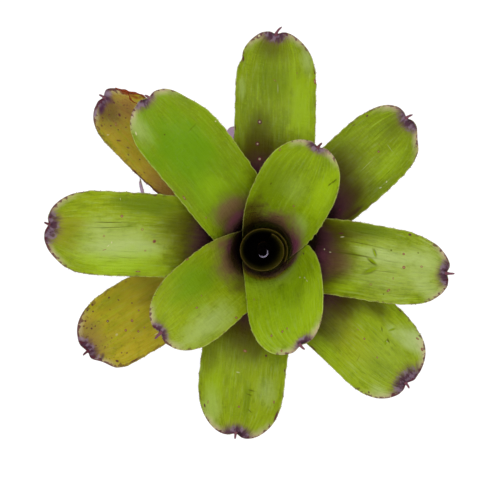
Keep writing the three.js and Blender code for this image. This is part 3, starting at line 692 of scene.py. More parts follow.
class Shader:
    """The nodes of a material or a world."""

    def __init__(self, owner):
        self.owner = owner
        owner.use_nodes = True
        self.tree = owner.node_tree
        self.tree.nodes.clear()

    def node(self, kind, settings=None, inputs=None, output=0):
        """Adds a node of a type, sets it up, fills or links its sockets, and gives one of its outputs."""
        made = self.tree.nodes.new("ShaderNode" + kind)
        for key, value in (settings or {}).items():
            setattr(made, key, value)
        for key, value in (inputs or {}).items():
            if isinstance(value, Wire):
                self.tree.links.new(value.socket, made.inputs[key])
            else:
                made.inputs[key].default_value = value
        return Wire(self, made.outputs[output]) if made.outputs else None

    def field(self, name):
        """A field that the piece's points carry."""
        output = "Vector" if name in VECTOR_FIELDS else "Fac"
        return self.node("Attribute", {"attribute_name": name}, output=output)

    def noise(self, place, detail=2.0, roughness=0.5):
        """Noise from about 0.2 to 0.8, one feature for each unit of place."""
        inputs = {"Vector": place, "Scale": 1.0, "Detail": detail, "Roughness": roughness}
        return self.node("TexNoise", None, inputs)

    def step(self, value, low, high):
        """0 below low and 1 above high, or the other way round, eased between them."""
        flipped = low > high
        inputs = {0: value, 1: min(low, high), 2: max(low, high), 3: float(flipped), 4: float(not flipped)}
        return self.node("MapRange", {"interpolation_type": "SMOOTHSTEP"}, inputs)

    def mix(self, a, b, factor):
        """Colour a turned into colour b by a factor."""
        a, b = (x if isinstance(x, Wire) else (*x[:3], 1.0) for x in (a, b))
        settings = {"data_type": "RGBA", "clamp_factor": True}
        return self.node("Mix", settings, {0: factor, 6: a, 7: b}, output=2)

    def away(self, flat, mark, rank):
        """Distance from the middle of a mark on a leaf, 1 at its edge."""
        inputs = {
            "Vector": flat, "Location": (mark.back, mark.aside, RANK_GAP * rank),
            "Rotation": (0, 0, mark.turn), "Scale": (mark.length, mark.width, 1),
        }
        placed = self.node("Mapping", {"vector_type": "TEXTURE"}, inputs)
        return self.node("VectorMath", {"operation": "LENGTH"}, {0: placed}, output="Value")

    def finish(self, colour, roughness, relief, gloss=0.5):
        """Ends the material in a Principled shader. relief is in millimetres."""
        normal = self.node("Bump", None, {"Strength": 1.0, "Distance": MM, "Height": relief})
        inputs = {"Base Color": colour, "Roughness": roughness, "Normal": normal, "Specular IOR Level": gloss}
        surface = self.node("BsdfPrincipled", None, inputs)
        self.node("OutputMaterial", None, {"Surface": surface})
        return self.owner


# How each kind of small mark looks: its tint, how much of it is soft edge, and how far it stands out, in
# millimetres. Any other look is a soft cloud of the tint with its name.
# dent and groove are painted shade in their hollows, blister a painted highlight on its raised middle, and
# lilac the lavender bloom with painted highlights in it.
LOOKS = {
    "husk": SimpleNamespace(tint="ember", soft=0.8, relief=0.2),
    "lilac": SimpleNamespace(tint="bloom", soft=0.9, relief=0.0),
    "bruise": SimpleNamespace(tint="patch", soft=0.9, relief=0.0),
    "blister": SimpleNamespace(tint="green", soft=0.7, relief=0.6),
    "scar": SimpleNamespace(tint="rust", soft=0.5, relief=0.15),
    "sore": SimpleNamespace(tint="maroon", soft=0.4, relief=-0.2),
    "spot": SimpleNamespace(tint="maroon", soft=0.7, relief=0.1),
    "dot": SimpleNamespace(tint="shade", soft=0.8, relief=-0.1),
    "fleck": SimpleNamespace(tint="pale", soft=0.7, relief=0.15),
    "dent": SimpleNamespace(tint="shade", soft=1.0, relief=-0.35),
    "groove": SimpleNamespace(tint="shade", soft=1.0, relief=-0.25),
    "dust": SimpleNamespace(tint="mauve", soft=0.9, relief=0.0),
    "flush": SimpleNamespace(tint="plum", soft=0.9, relief=0.0),
}
PALE_MIDDLE = {"scar": 0.4, "sore": 0.7}
CLOUD = SimpleNamespace(soft=0.85, relief=0.0)


def leaf_marks(shader, colour, relief, flat, wobble, plan, tints, clouds):
    """Lays a leaf's soft clouds of colour, or its small marks, over a colour and a relief."""
    step, mix = shader.step, shader.mix
    for mark in MARKS.get(plan.rank, ()):
        look = LOOKS.get(mark.look, CLOUD)
        if clouds != (look is CLOUD):
            continue
        away = shader.away(flat, mark, plan.rank) + wobble * (1.0 if clouds else 0.5)
        cover = step(away, 1.0, 1.0 - look.soft) * mark.strength
        cover = cover * (0.9 if clouds else 0.95)
        colour = mix(colour, getattr(tints, mark.look if clouds else look.tint), cover)
        if mark.look in PALE_MIDDLE:
            middle = step(away, 0.5, 0.1) * mark.strength
            colour = mix(colour, tints.pale, middle * PALE_MIDDLE[mark.look])
        if look.relief:
            relief = relief + step(away, 1.1, 0.3) * (look.relief * mark.strength)
    return colour, relief


def leaf_material(plan, tints):
    """The skin of one leaf: its tone, the purple throat, the tip patch, the margins and its marks."""
    shader = Shader(bpy.data.materials.new(plan.node))
    flat = shader.field("flat")
    grain = shader.field("grain")
    edge = shader.field("edge")
    tip = shader.field("tip")
    blush = shader.field("blush")
    under = shader.field("under")
    horn = shader.field("horn")
    step, mix = shader.step, shader.mix

    lines = shader.noise(grain * (0.014, 0.5, 1.0), 3.0, 0.6)
    threads = shader.noise(grain * (0.06, 1.1, 1.0), 2.0)
    clouds = shader.noise(flat * (0.03, 0.06, 1.0), 3.0)
    blotches = shader.noise(flat * (0.14, 0.18, 1.0), 3.0, 0.6)
    grit = shader.noise(flat * (0.55, 0.6, 1.0), 2.0)
    wrinkles = shader.noise(grain * (0.5, 0.12, 1.0), 2.0)
    ridges = shader.noise(grain * (0.07, 0.42, 1.0), 2.0, 0.6)

    fresh = plan.tone != "old"
    colour = mix(tints.green, tints.olive, plan.age) if fresh else mix(tints.old, tints.mauve, 0.1)
    colour = mix(colour, tints.lime if plan.light > 0 else tints.deep, abs(plan.light))
    if fresh:
        colour = mix(colour, tints.deep, step(clouds, 0.45, 0.75) * 0.5)
        colour = mix(colour, tints.lime, step(lines, 0.5, 0.75) * 0.35)
        # Painted highlight and shade along the veins: pale streaks on the raised ridges, darker green in the
        # troughs between them.
        colour = mix(colour, tints.wax_and_sheen, step(ridges, 0.5, 0.75) * (0.13 * plan.ridges))
        colour = mix(colour, tints.deep, step(ridges, 0.5, 0.25) * (0.3 * plan.ridges))
        colour = mix(colour, tints.deep, step(blotches, 0.5, 0.75) * 0.35)
        colour = mix(colour, tints.rim, step(threads, 0.5, 0.75) * 0.08)
        colour = mix(colour, tints.lime, step(grit, 0.5, 0.25) * 0.25)
    wobble = (blotches - 0.5) * 1.0 + (grit - 0.5) * 0.35
    ragged = (blotches - 0.5) * 0.5 + (clouds - 0.5) * 1.2
    colour, relief = leaf_marks(shader, colour, 0.0, flat, ragged, plan, tints, True)

    # The throat: green turns brown, then violet, then almost black.
    depth = blush + (blotches - 0.5) * 0.2 + (lines - 0.5) * 0.2
    colour = mix(colour, tints.brown, step(depth, 0.05, 0.6) * 0.85)
    colour = mix(colour, tints.violet, step(depth, 0.45, 0.85) * 0.85)
    colour = mix(colour, tints.night, step(depth, 0.66, 1.1))

    # The tip: a pale band and a pinkish fringe round a purple patch. The patch has a lavender bloom with
    # painted highlights in it, and is darkest at the spine.
    veil = shader.noise(flat * (0.16, 0.2, 1.0), 2.0)
    streaks = shader.noise(grain * (0.09, 0.6, 1.0), 2.0)
    spread = tip + (blotches - 0.5) * 0.9 + (streaks - 0.5) * 0.8 + (grit - 0.5) * 0.15
    beside = edge + (blotches - 0.5) * 4.0
    halo = step(tip + (blotches - 0.5) * 1.2, 4.6, 1.4)
    colour = mix(colour, tints.cream, halo * step(beside, 7.0, 1.0) * 0.75)
    colour = mix(colour, tints.fringe, halo * step(beside, 2.6, 0.3) * 0.45)
    colour = mix(colour, tints.mauve, step(spread, 2.1, 1.1) * 0.4)
    colour = mix(colour, tints.patch, step(spread, 1.65, 0.7) * 0.92)
    colour = mix(colour, tints.bloom, step(veil, 0.44, 0.62) * step(spread, 1.5, 1.0) * 0.6)
    colour = mix(colour, tints.night, step(spread, 0.7, 0.1) * 0.7)

    # The margin: a thin pale line, broken by dark flecks that grow thicker towards the tip.
    flecks = shader.noise(flat * (0.24, 0.3, 1.0), 3.0, 0.6)
    flecked = {"green": plan.age * 0.5 - 0.06, "olive": 0.1, "old": -0.4}[plan.tone]
    reach = step(tip, 7.0, 1.5)
    fleck = step(edge + (0.6 - reach * 0.06 - flecked - flecks) * 14.0, 2.2, 0.8) * (reach * 0.45 + 0.4)
    speckle = step(grit + (blotches - 0.5) * 0.5, 0.6, 0.72) * step(tip, 8.0, 2.0)
    colour = mix(colour, tints.maroon, speckle * (0.6 * plan.age if fresh else 0.0))
    colour = mix(colour, tints.rim, step(edge, 0.9, 0.4) * 0.4)
    colour = mix(colour, tints.maroon, fleck)

    colour, relief = leaf_marks(shader, colour, relief, flat, wobble, plan, tints, False)

    # The lower face is paler, with a thin grey scurf in cross bands.
    bands = shader.noise(grain * (0.4, 0.03, 1.0), 2.0)
    scurf = mix(colour, tints.sheath, 0.35 + step(bands, 0.45, 0.65) * 0.25)
    colour = mix(colour, scurf, under)
    dried = mix(mix(tints.maroon, tints.fringe, 0.22), tints.maroon, step(grit, 0.5, 0.35))
    dried = mix(dried, tints.ember, step(horn, 0.97, 1.0) * step(grit, 0.42, 0.6))
    colour = mix(colour, dried, horn)

    relief = relief + (lines * 0.5 + ridges * 0.55) * plan.ridges
    relief = relief + threads * 0.3 + blotches * 0.45 + wrinkles * 0.45
    roughness = 0.12 + clouds * 0.14 + under * 0.3
    return shader.finish(colour, roughness, relief, gloss=0.4)


def heart_material(heart, tints):
    """The tube: its inside is painted shade, almost black, with painted light near the rim on one side;
    purple outside, with a thin pale lip.
    """
    shader = Shader(bpy.data.materials.new("heart"))
    flat = shader.field("flat")
    edge = shader.field("edge")
    under = shader.field("under")
    lit = shader.field("lit")
    step, mix = shader.step, shader.mix
    lines = shader.noise(flat * (0.55, 0.012, 1.0), 3.0, 0.6)
    blotches = shader.noise(flat * (0.16, 0.1, 1.0), 3.0)
    depth = edge + (blotches - 0.5) * 8.0 + (lines - 0.5) * 4.0
    # Painted light: the inside is lighter near the rim on the side the light falls on, in blotches.
    glow = lit * (step(blotches, 0.3, 0.6) * 0.3 + 0.7)
    inside = mix(DARK.tube, heart.lit_wall_tint, glow)
    outside = mix(tints.brown, tints.violet, step(depth, 6.0, 20.0))
    colour = mix(inside, outside, under)
    colour = mix(colour, heart.lip, step(edge, 2.0, 0.5) * 0.8)
    return shader.finish(colour, 0.4 + blotches * 0.1, lines * 0.25, gloss=0.35)


def bud_material(heart):
    """The newest leaf: painted shade, almost black, apart from the pale lip on its lit side, a painted
    highlight.
    """
    shader = Shader(bpy.data.materials.new("newest_leaf"))
    flat = shader.field("flat")
    lit = shader.field("lit")
    edge = shader.field("edge")
    under = shader.field("under")
    lines = shader.noise(flat * (0.8, 0.05, 1.0), 2.0)
    # The pale lip is a painted highlight on the side of the roll that the light falls on.
    lip = shader.step(lit + under * 0.3 + (lines - 0.5) * 0.1, 0.66, 0.84) * shader.step(edge, 1.8, 0.8)
    colour = shader.mix(DARK.roll, heart.bud, lip)
    return shader.finish(colour, 0.4 + lines * 0.1, lines * 0.15, gloss=0.4)


def stem_material(stem):
    """Fibrous bark, a pale and pored cut face, and wiry roots."""
    shader = Shader(bpy.data.materials.new("stem"))
    flat = shader.field("flat")
    cut = shader.field("cut")
    root = shader.field("horn")
    step, mix = shader.step, shader.mix
    fibres = shader.noise(flat * (0.5, 0.12, 0.5), 4.0, 0.65)
    grain = shader.noise(flat * (1.4, 1.4, 1.4), 3.0)
    dots = shader.node("TexVoronoi", None, {"Vector": flat * (0.8, 0.8, 0.8), "Scale": 1.0})
    height = shader.node("SeparateXYZ", None, {"Vector": flat}, output="Z")
    apex = stem.apex / MM
    bark = mix(stem.bark, DARK.crack, step(fibres, 0.45, 0.7) * 0.8)
    bark = mix(bark, DARK.tube, step(height, apex - 9.0, apex - 2.0))
    pith = mix(mix(stem.pith, stem.bark, grain * 0.6), DARK.pore, step(dots, 0.24, 0.12) * 0.8)
    wiry = mix(stem.root, DARK.rootlet, step(grain, 0.4, 0.7))
    colour = mix(mix(bark, pith, cut), wiry, root)
    return shader.finish(colour, 0.75 + grain * 0.2, fibres * 1.2 + grain * 0.5)


# ---------------------------------------------------------------- leaves


def stem_radius(z, apex):
    return lerp(CONE.radius, CONE.apex_radius, (z - CONE.height) / (apex - CONE.height))


def sheath_spread(height):
    """How far out a sheath stands at a height above the place where it joins the stem."""
    turning = 1 - np.exp(-height / SHEATH.turn)
    return SHEATH.taper * height + (SHEATH.spread - SHEATH.taper) * SHEATH.turn * turning


def sheath_slope(height):
    return SHEATH.taper + (SHEATH.spread - SHEATH.taper) * math.exp(-height / SHEATH.turn)


class Leaf:
    """One leaf, flat and bent."""

    STEPS = 600  # how finely the sheath's and the blade's midrib are each worked out

    def __init__(self, plan, blade, apex):
        self.plan = plan
        self.blade = blade
        self.half = plan.width / 2
        self.tip_length = BLADE.tip_share * self.half
        self.trace(apex)

    def trace(self, apex):
        """Works out the midrib in its upright plane."""
        plan = self.plan
        step = (apex - CONE.bare_top - CONE.height) / len(LEAVES)
        foot = CONE.height + step * (len(LEAVES) - plan.rank + 0.5)
        inside = stem_radius(foot, apex) + SHEATH.seat
        wrap = min(SHEATH.wrap, self.half / inside)
        foot_radius = inside / math.cos(wrap / SHEATH.facets) + SHEATH.thickness / 2
        rise = max(THROAT.highest - THROAT.step * (plan.rank - 1), THROAT.lowest) - foot
        climb = np.linspace(0, rise, self.STEPS + 1)
        sheath = np.stack([foot_radius + sheath_spread(climb), foot + climb], -1)

        start = sheath[-1]
        end = np.array([plan.reach, plan.height])
        pull = BLADE.pull * np.linalg.norm(end - start)
        after = start + pull * unit(np.array([sheath_slope(rise), 1.0]))
        before = end - pull * np.array([math.sin(plan.lean), math.cos(plan.lean)])
        k = np.linspace(0, 1, self.STEPS + 1)[1:, None]
        blade = start * (1 - k) ** 3 + 3 * after * k * (1 - k) ** 2
        blade = blade + 3 * before * k * k * (1 - k) + end * k**3

        line = np.concatenate([sheath, blade])
        steps = np.linalg.norm(np.diff(line, axis=0), axis=1)
        self.radii, self.heights = line.T
        self.lengths = np.concatenate([[0], np.cumsum(steps)])
        self.length = self.lengths[-1]
        self.throat = self.lengths[self.STEPS]

    def at(self, s):
        return np.interp(s, self.lengths, self.radii), np.interp(s, self.lengths, self.heights)

    def strap(self, s):
        """Half the leaf's width before its end is rounded."""
        along = s / self.throat
        waist = 1 - BLADE.waist * bell((along - 1) / BLADE.waist_length)
        swell = SHEATH.swell * bell((along - SHEATH.swell_at) / SHEATH.swell_length)
        wide = self.half * (waist + swell)
        limit = SHEATH.wrap * self.at(s)[0]
        return wide / (1 + (wide / limit) ** 4) ** 0.25

    def half_width(self, s):
        into = np.clip((s - (self.length - self.tip_length)) / self.tip_length, 0, 1)
        return self.strap(s) * (1 - into**BLADE.tip_power) ** (1 / BLADE.tip_power)

    def end(self, t):
        """Where the leaf ends at a distance across it: two rounded lobes with a notch between them."""
        widest = self.strap(self.length)
        across = np.minimum(1, np.abs(t) / widest)
        rounded = (1 - across**BLADE.tip_power) ** (1 / BLADE.tip_power)
        dip = self.blade.notch * bell((t - self.plan.notch) / NOTCH.half_width)
        return self.length - self.tip_length * (1 - rounded) - dip

    def worn(self, s, t):
        """Where a point of the flat leaf lies on it once its margin is crinkled and bitten."""
        rank = self.plan.rank
        width = np.maximum(self.strap(np.clip(s, 0, self.length)), 1 * MM)
        share = smooth(np.abs(t) / width, CRINKLE.margin_from, 1)
        grown = smooth(s, self.throat, CRINKLE.grown_by * self.throat)
        short, long = CRINKLE.margin_length, 3 * CRINKLE.margin_length
        uneven = 0.5 + 0.5 * waves(rank + CRINKLE.margin_seed, s, t, short, long)
        ending = smooth(s, self.length - CRINKLE.end_zone, self.length)
        frayed = waves(rank + CRINKLE.end_seed, s, t, long, short)
        across = t - np.sign(t) * CRINKLE.margin * share * grown * uneven
        along = s + CRINKLE.end * ending * (0.3 * frayed - 0.3)
        if rank in SHRUNK:
            shrunk = SHRUNK[rank]
            drawn = smooth(s, self.length - shrunk.length, self.length - shrunk.finger)
            across = across * (1 - shrunk.narrow * drawn) + shrunk.over * drawn
            hooked = np.clip((s - self.length + shrunk.hook) / shrunk.hook, 0, 1.2) ** 1.6
            across = across + shrunk.aside * hooked
            along = along + shrunk.along * hooked
        for bite in BITES.get(rank, ()):
            away = np.hypot((self.length - s) / MM - bite.back, t / MM - bite.aside)
            push = bite.width * MM * bell(away / bite.length)
            along = along - push * math.cos(bite.turn)
            across = across + push * math.sin(bite.turn)
        return along, across

    def pressed(self, s, t):
        """How far the dents and grooves stand in from the smooth blade."""
        total = np.zeros(np.broadcast(s, t).shape)
        for mark in MARKS.get(self.plan.rank, ()):
            if mark.look in PRESSED:
                along, aside = (self.length - s) / MM - mark.back, t / MM - mark.aside
                width = max(mark.width, FINEST_PRESSED)
                u = (along * math.cos(mark.turn) + aside * math.sin(mark.turn)) / mark.length
                v = (aside * math.cos(mark.turn) - along * math.sin(mark.turn)) / width
                total += PRESSED[mark.look] * MM * mark.strength * bell(np.hypot(u, v))
        return total

    def middle(self, s, t):
        """Where the point (s, t) of the flat leaf's middle layer lies on the plant."""
        plan, channel = self.plan, self.blade.channel
        pressed = self.pressed(s, t)
        s, t = self.worn(s, t)
        clamped = np.clip(s, 0, self.length)
        r, z = self.at(clamped)
        near = np.maximum(clamped, PROBE)
        r_near, z_near = self.at(near)
        r_back, z_back = self.at(near - PROBE)
        slope = np.hypot(r_near - r_back, z_near - z_back)
        out_way, up_way = (r_near - r_back) / slope, (z_near - z_back) / slope

        wrapped = around(r, plan.azimuth + t / r, z)
        across = np.array([-math.sin(plan.azimuth), math.cos(plan.azimuth), 0])
        inward = around(-up_way, plan.azimuth, out_way)
        forward = around(out_way, plan.azimuth, up_way)
        angle = t / channel
        channelled = around(r, plan.azimuth, z)
        channelled = channelled + across * (channel * np.sin(angle))[..., None]
        channelled = channelled + inward * (channel * (1 - np.cos(angle)))[..., None]
        channelled = channelled + forward * (s - clamped)[..., None]

        opened = smooth(s, BLADE.opens_from * self.throat, lerp(self.throat, self.length, BLADE.opens_to))
        bent = lerp(wrapped, channelled, opened[..., None])
        out = smooth(s, self.throat, self.length)
        bent = bent + across * (plan.sway * out * out)[..., None]
        notched = bell((t - plan.notch) / NOTCH.half_width)
        pinch = NOTCH.pinch * notched * bell((self.length - s) / NOTCH.pinch_length)
        broad = waves(plan.rank, s, t, CRINKLE.ripple_length, CRINKLE.ripple_width)
        fine = waves(plan.rank + CRINKLE.pucker_seed, s, t, CRINKLE.pucker_length, CRINKLE.pucker_width)
        ripple = self.blade.ripple * out * broad + CRINKLE.pucker * out * fine
        return bent + inward * (ripple - pinch - pressed)[..., None]

    def frame_at(self, s, t):
        """The place, and the unit directions along, across and upward, at points of the flat leaf."""
        s, t = np.broadcast_arrays(np.asarray(s, float), np.asarray(t, float))
        along = unit(self.middle(s + PROBE, t) - self.middle(s - PROBE, t))
        across = unit(self.middle(s, t + PROBE) - self.middle(s, t - PROBE))
        return self.middle(s, t), along, across, unit(np.cross(along, across))

    def columns(self):
        """Shares across the leaf from -1 to 1, crowded at the margins and round the notch."""
        fine = np.linspace(-1, 1, GRID.samples)
        near_notch = bell((fine * self.half - self.plan.notch) / GRID.notch_width)
        crowd = 1 / np.sqrt(GRID.margin - fine**2) + GRID.notch_crowding * near_notch
        total = np.concatenate([[0], np.cumsum((crowd[1:] + crowd[:-1]) / 2)])
        return np.interp(np.linspace(0, total[-1], self.blade.columns + 1), total, fine)

    def grid(self):
        """The flat leaf's points, row by row: (s, t) arrays. The last rows bend to follow the lobes."""
        shares = self.columns()
        end_from = self.length - BLADE.end_zone * self.tip_length
        end_rows = self.blade.rows // GRID.end_share
        sheath_rows = self.blade.rows // GRID.sheath_share
        blade_rows = self.blade.rows - end_rows - sheath_rows
        lower = np.linspace(0, self.throat, sheath_rows, endpoint=False)
        upper = np.linspace(self.throat, end_from, blade_rows, endpoint=False)
        s = np.concatenate([lower, upper])[:, None]
        straight = np.broadcast_to(s, (len(s), len(shares))), self.strap(s) * shares
        t_end = self.strap(self.length) * shares
        k = np.sin(np.linspace(0, math.pi / 2, end_rows + 1))[:, None]
        s_end = lerp(end_from, self.end(t_end)[None], k)
        t_rows = self.strap(s_end) * shares
        return np.concatenate([straight[0], s_end]), np.concatenate([straight[1], t_rows])

    def edge_distance(self, s, t):
        """Distance of each point of the grid from the leaf's margin."""
        border = [(s[:, 0], t[:, 0]), (s[-1], t[-1]), (s[::-1, -1], t[::-1, -1])]
        line = np.concatenate([np.stack(side, -1) for side in border])
        travelled = np.concatenate([[0], np.cumsum(np.linalg.norm(np.diff(line, axis=0), axis=1))])
        places = np.arange(0, travelled[-1], GRID.border_step)
        dense = np.stack([np.interp(places, travelled, line[:, i]) for i in (0, 1)], -1)
        tree = KDTree(len(dense))
        for i, (x, y) in enumerate(dense):
            tree.insert((x, y, 0), i)
        tree.balance()
        found = [tree.find((x, y, 0))[2] for x, y in zip(s.ravel(), t.ravel())]
        return np.array(found).reshape(s.shape)

    def thickness(self, s, t, edge):
        """The leaf's thickness, rounded off to nothing at its edge."""
        grown = smooth(s, self.throat, BLADE.thick_from * self.throat)
        body = lerp(SHEATH.thickness, self.blade.thickness, grown)
        share = np.abs(t) / np.maximum(self.half_width(np.minimum(s, self.length - 1 * MM)), 1 * MM)
        thinned = lerp(body, np.minimum(body, self.blade.margin), smooth(share, BLADE.margin_from, 1))
        near = np.clip(edge / (self.blade.margin / 2), 0, 1)
        return thinned * np.sqrt(1 - (1 - near) ** 2)

    def blush_at(self, s, t):
        """How deep a point lies in the purple throat: 0 on the green blade, and 1 where all green is gone."""
        start = np.interp(self.plan.blush, self.radii, self.lengths)
        shallow = start + self.plan.fade / 2
        deep = start - self.plan.fade / 2
        share = (shallow - s) / (shallow - deep)
        width = np.maximum(self.strap(np.clip(s, 0, self.length)), 1 * MM)
        beside = smooth(np.abs(t) / width, THROAT.margin_from, 1) * (s > self.throat)
        return np.clip(share, 0, THROAT.deepest) * (1 - THROAT.margin * beside)

    def fields(self, s, t, edge, under, horn):
        """What the leaf's material reads, in millimetres where it is a length."""
        plan = self.plan
        ends = self.end(np.array([plan.drift]))[0]
        share = t / np.maximum(self.half_width(np.clip(s, 0, self.length - 0.5 * MM)), 1 * MM)
        spread = np.clip(share, -1.2, 1.2) * self.half
        rank = RANK_GAP * plan.rank
        back = (self.length - s) / MM
        return {
            "flat": np.stack(np.broadcast_arrays(back, t / MM, rank), -1),
            "grain": np.stack(np.broadcast_arrays(back, spread / MM, rank), -1),
            "edge": edge / MM,
            "tip": np.hypot(s - ends, (t - plan.drift) / PATCH.breadth) / (PATCH.size * plan.patch),
            "blush": self.blush_at(s, t),
            "under": under,
            "horn": horn,
        }

    def blade_shell(self, build):
        s, t = self.grid()
        edge = self.edge_distance(s, t)
        place, _, _, upward = self.frame_at(s, t)
        offset = upward * (self.thickness(s, t, edge) / 2)[..., None]
        points = shell_points(place + offset, place - offset)
        top = self.fields(s, t, edge, 0.0, 0.0)
        bottom = self.fields(s, t, edge, 1.0, 0.0)
        full = {}
        for key in top:
            shape = (*s.shape, 3) if key in VECTOR_FIELDS else s.shape
            full[key] = shell_points(np.broadcast_to(top[key], shape), np.broadcast_to(bottom[key], shape))
        build.add(points, shell_faces(*s.shape), **full)

    def thorns(self, build):
        """The small thorns along both margins, which point to the tip."""
        draw = np.random.default_rng(self.plan.rank)
        gap, height = self.blade.thorn_gap, self.blade.thorn
        last = self.length - THORN.ends * self.tip_length
        k = np.linspace(0, 1, THORN.steps)[:, None]
        for side in (-1, 1):
            s = self.throat
            while s < last:
                t = side * float(self.half_width(np.array(s)))
                place, along, across, _ = self.frame_at(s, t)
                size = height * draw.uniform(*THORN.size)
                line = place + side * across * size * (1.5 * k - 0.5) + along * size * THORN.lean * k * k
                radii = THORN.thick * size * (1 - k[:, 0]) ** 0.8 + THORN.finest
                points, faces = tube(line, radii, THORN.sides)
                build.add(points, faces, **self.fields(s, t, 0.0, 0.0, THORN.dried))
                s += gap * draw.uniform(*THORN.gap)

    def strand(self, build, places, radius):
        """A dried and curled strand that lies on the leaf along a line of places on the flat one."""
        steps = np.linspace(0, len(places) - 1, STRAND.steps * len(places))
        back, aside = (np.interp(steps, range(len(places)), column) * MM for column in zip(*places))
        place, _, _, upward = self.frame_at(self.length - back, aside)
        curl = 0.5 + 0.5 * np.sin(steps * STRAND.curl_rate)
        line = place + upward * (radius * (STRAND.lift + STRAND.curl * curl))[:, None]
        ends = np.sqrt(np.sin(np.linspace(STRAND.ends, math.pi - STRAND.ends, len(steps))))
        radii = radius * (1 - STRAND.swell + STRAND.swell * np.cos(steps * STRAND.swell_rate)) * ends
        points, faces = tube(line, np.maximum(radii, STRAND.thinnest * radius), STRAND.sides)
        build.add(points, faces, **self.fields(self.length - STRAND.rooted, 0.0, 0.0, 0.0, 1.0))

    def spine(self, build):
        """The dry spine in the notch."""
        plan = self.plan
        start = float(self.end(np.array(plan.notch))) - SPINE.rooted
        place, along, across, upward = self.frame_at(start, plan.notch)
        k = np.linspace(0, 1, SPINE.steps)[:, None]
        reach = plan.spine + SPINE.rooted
        line = place + along * reach * k + across * plan.hook * k**2.2 - upward * SPINE.sinks * k
        radii = (SPINE.thick * (1 - k[:, 0]) ** 0.6 + SPINE.point) * (1 + 0.12 * np.sin(9 * k[:, 0]))
        radii = np.minimum(radii, plan.spine * SPINE.widest)
        points, faces = tube(line, radii, SPINE.sides)
        dried = SPINE.old_dried if plan.tone == "old" else SPINE.dried
        build.add(points, faces, **self.fields(start, plan.notch, 0.0, 0.0, dried))


def make_leaf(plan, scene):
    build = Build()
    leaf = Leaf(plan, scene.neoregelia_blade, scene.neoregelia_stem.apex)
    leaf.blade_shell(build)
    leaf.thorns(build)
    leaf.spine(build)
    for places, radius in STRANDS.get(plan.rank, ()):
        leaf.strand(build, places, radius * MM)
    material = leaf_material(plan, scene.neoregelia_tints)
    return build.piece(f"{plan.node}_blade", material, plan.node, f"leaf_{plan.tone}")


# ---------------------------------------------------------------- the rolled leaves in the heart


def rolled_shell(build, columns, rows, surface, wall, edge_of, **extra):
    """A closed wall round a roll. surface gives its middle layer, and edge_of its distance from the rim."""
    u = 0.5 - 0.5 * np.cos(np.linspace(0, math.pi, columns + 1))
    u = lerp(np.linspace(0, 1, columns + 1), u, ROLL.crowding)[None]
    v = np.sin(np.linspace(0, math.pi / 2, rows + 1))[:, None]
    u, v = np.broadcast_arrays(u, v)
    edge = edge_of(u, v)
    near = np.clip(edge / (wall / 2), 0, 1)
    half = (wall / 2 * np.sqrt(1 - (1 - near) ** 2))[..., None]
    place, outward = surface(u, v)
    points = shell_points(place + outward * half, place - outward * half)
    faces = shell_faces(*u.shape)[:, ::-1]
    flat = np.stack([u * ROLL.across, v * ROLL.along, np.zeros(u.shape)], -1)
    fields = {"flat": shell_points(flat, flat), "edge": shell_points(edge / MM, edge / MM)}
    fields["under"] = shell_points(np.ones(u.shape), np.zeros(u.shape))
    for key, value in extra.items():
        values = value(u, v)
        fields[key] = shell_points(values, values)
    build.add(points, faces, **fields)


def make_heart(scene):
    """The youngest full leaf, rolled into the tube in the middle of the cup."""
    heart, apex = scene.neoregelia_heart, scene.neoregelia_stem.apex
    foot = apex - HEART.foot_depth
    turns = HEART.roll / (2 * math.pi)
    foot_pitch = heart.wall + SHEATH.seat
    foot_radius = stem_radius(foot, apex) + SHEATH.seat + heart.wall + foot_pitch * turns
    height = heart.rim_height - foot
    growth = (heart.radius - foot_radius) / sheath_spread(height)
    middle = HEART.start + HEART.roll / 2

    def surface(u, v):
        angle = HEART.start + HEART.roll * u
        climb = height * v**HEART.crowding
        tighter = lerp(foot_pitch, HEART.pitch, v) * turns * u
        radius = foot_radius + growth * sheath_spread(climb) - tighter - heart.wall / 2
        slant = HEART.rim_slant * np.cos((angle - middle) / 2) * v
        point = around(radius, angle, foot + climb + slant)
        point[..., 0] += HEART.shift[0] * v
        point[..., 1] = point[..., 1] * lerp(1, HEART.squeeze, v) + HEART.shift[1] * v
        return point, around(1.0, angle, np.zeros(angle.shape))

    def edge_of(u, v):
        side = np.minimum(u, 1 - u) * HEART.roll * heart.radius
        return np.minimum((1 - v**HEART.crowding) * height, side)

    # Painted light: how far light falls down the inside of the tube from its rim, more on one side.
    def lit(u, v):
        down = (1 - v**HEART.crowding) * height
        side = 0.5 + 0.5 * np.cos(HEART.start + HEART.roll * u - HEART.lit_side)
        share = lerp(*HEART.lit_share, smooth(side, 0.2, 0.95))
        return smooth(-down, -lerp(*HEART.lit_depth, side), -1 * MM) * share

    build = Build()
    rolled_shell(build, HEART.columns, HEART.rows, surface, heart.wall, edge_of, lit=lit)
    material = heart_material(heart, scene.neoregelia_tints)
    return build.piece("heart_leaf_tube", material, "heart_leaf", "heart")


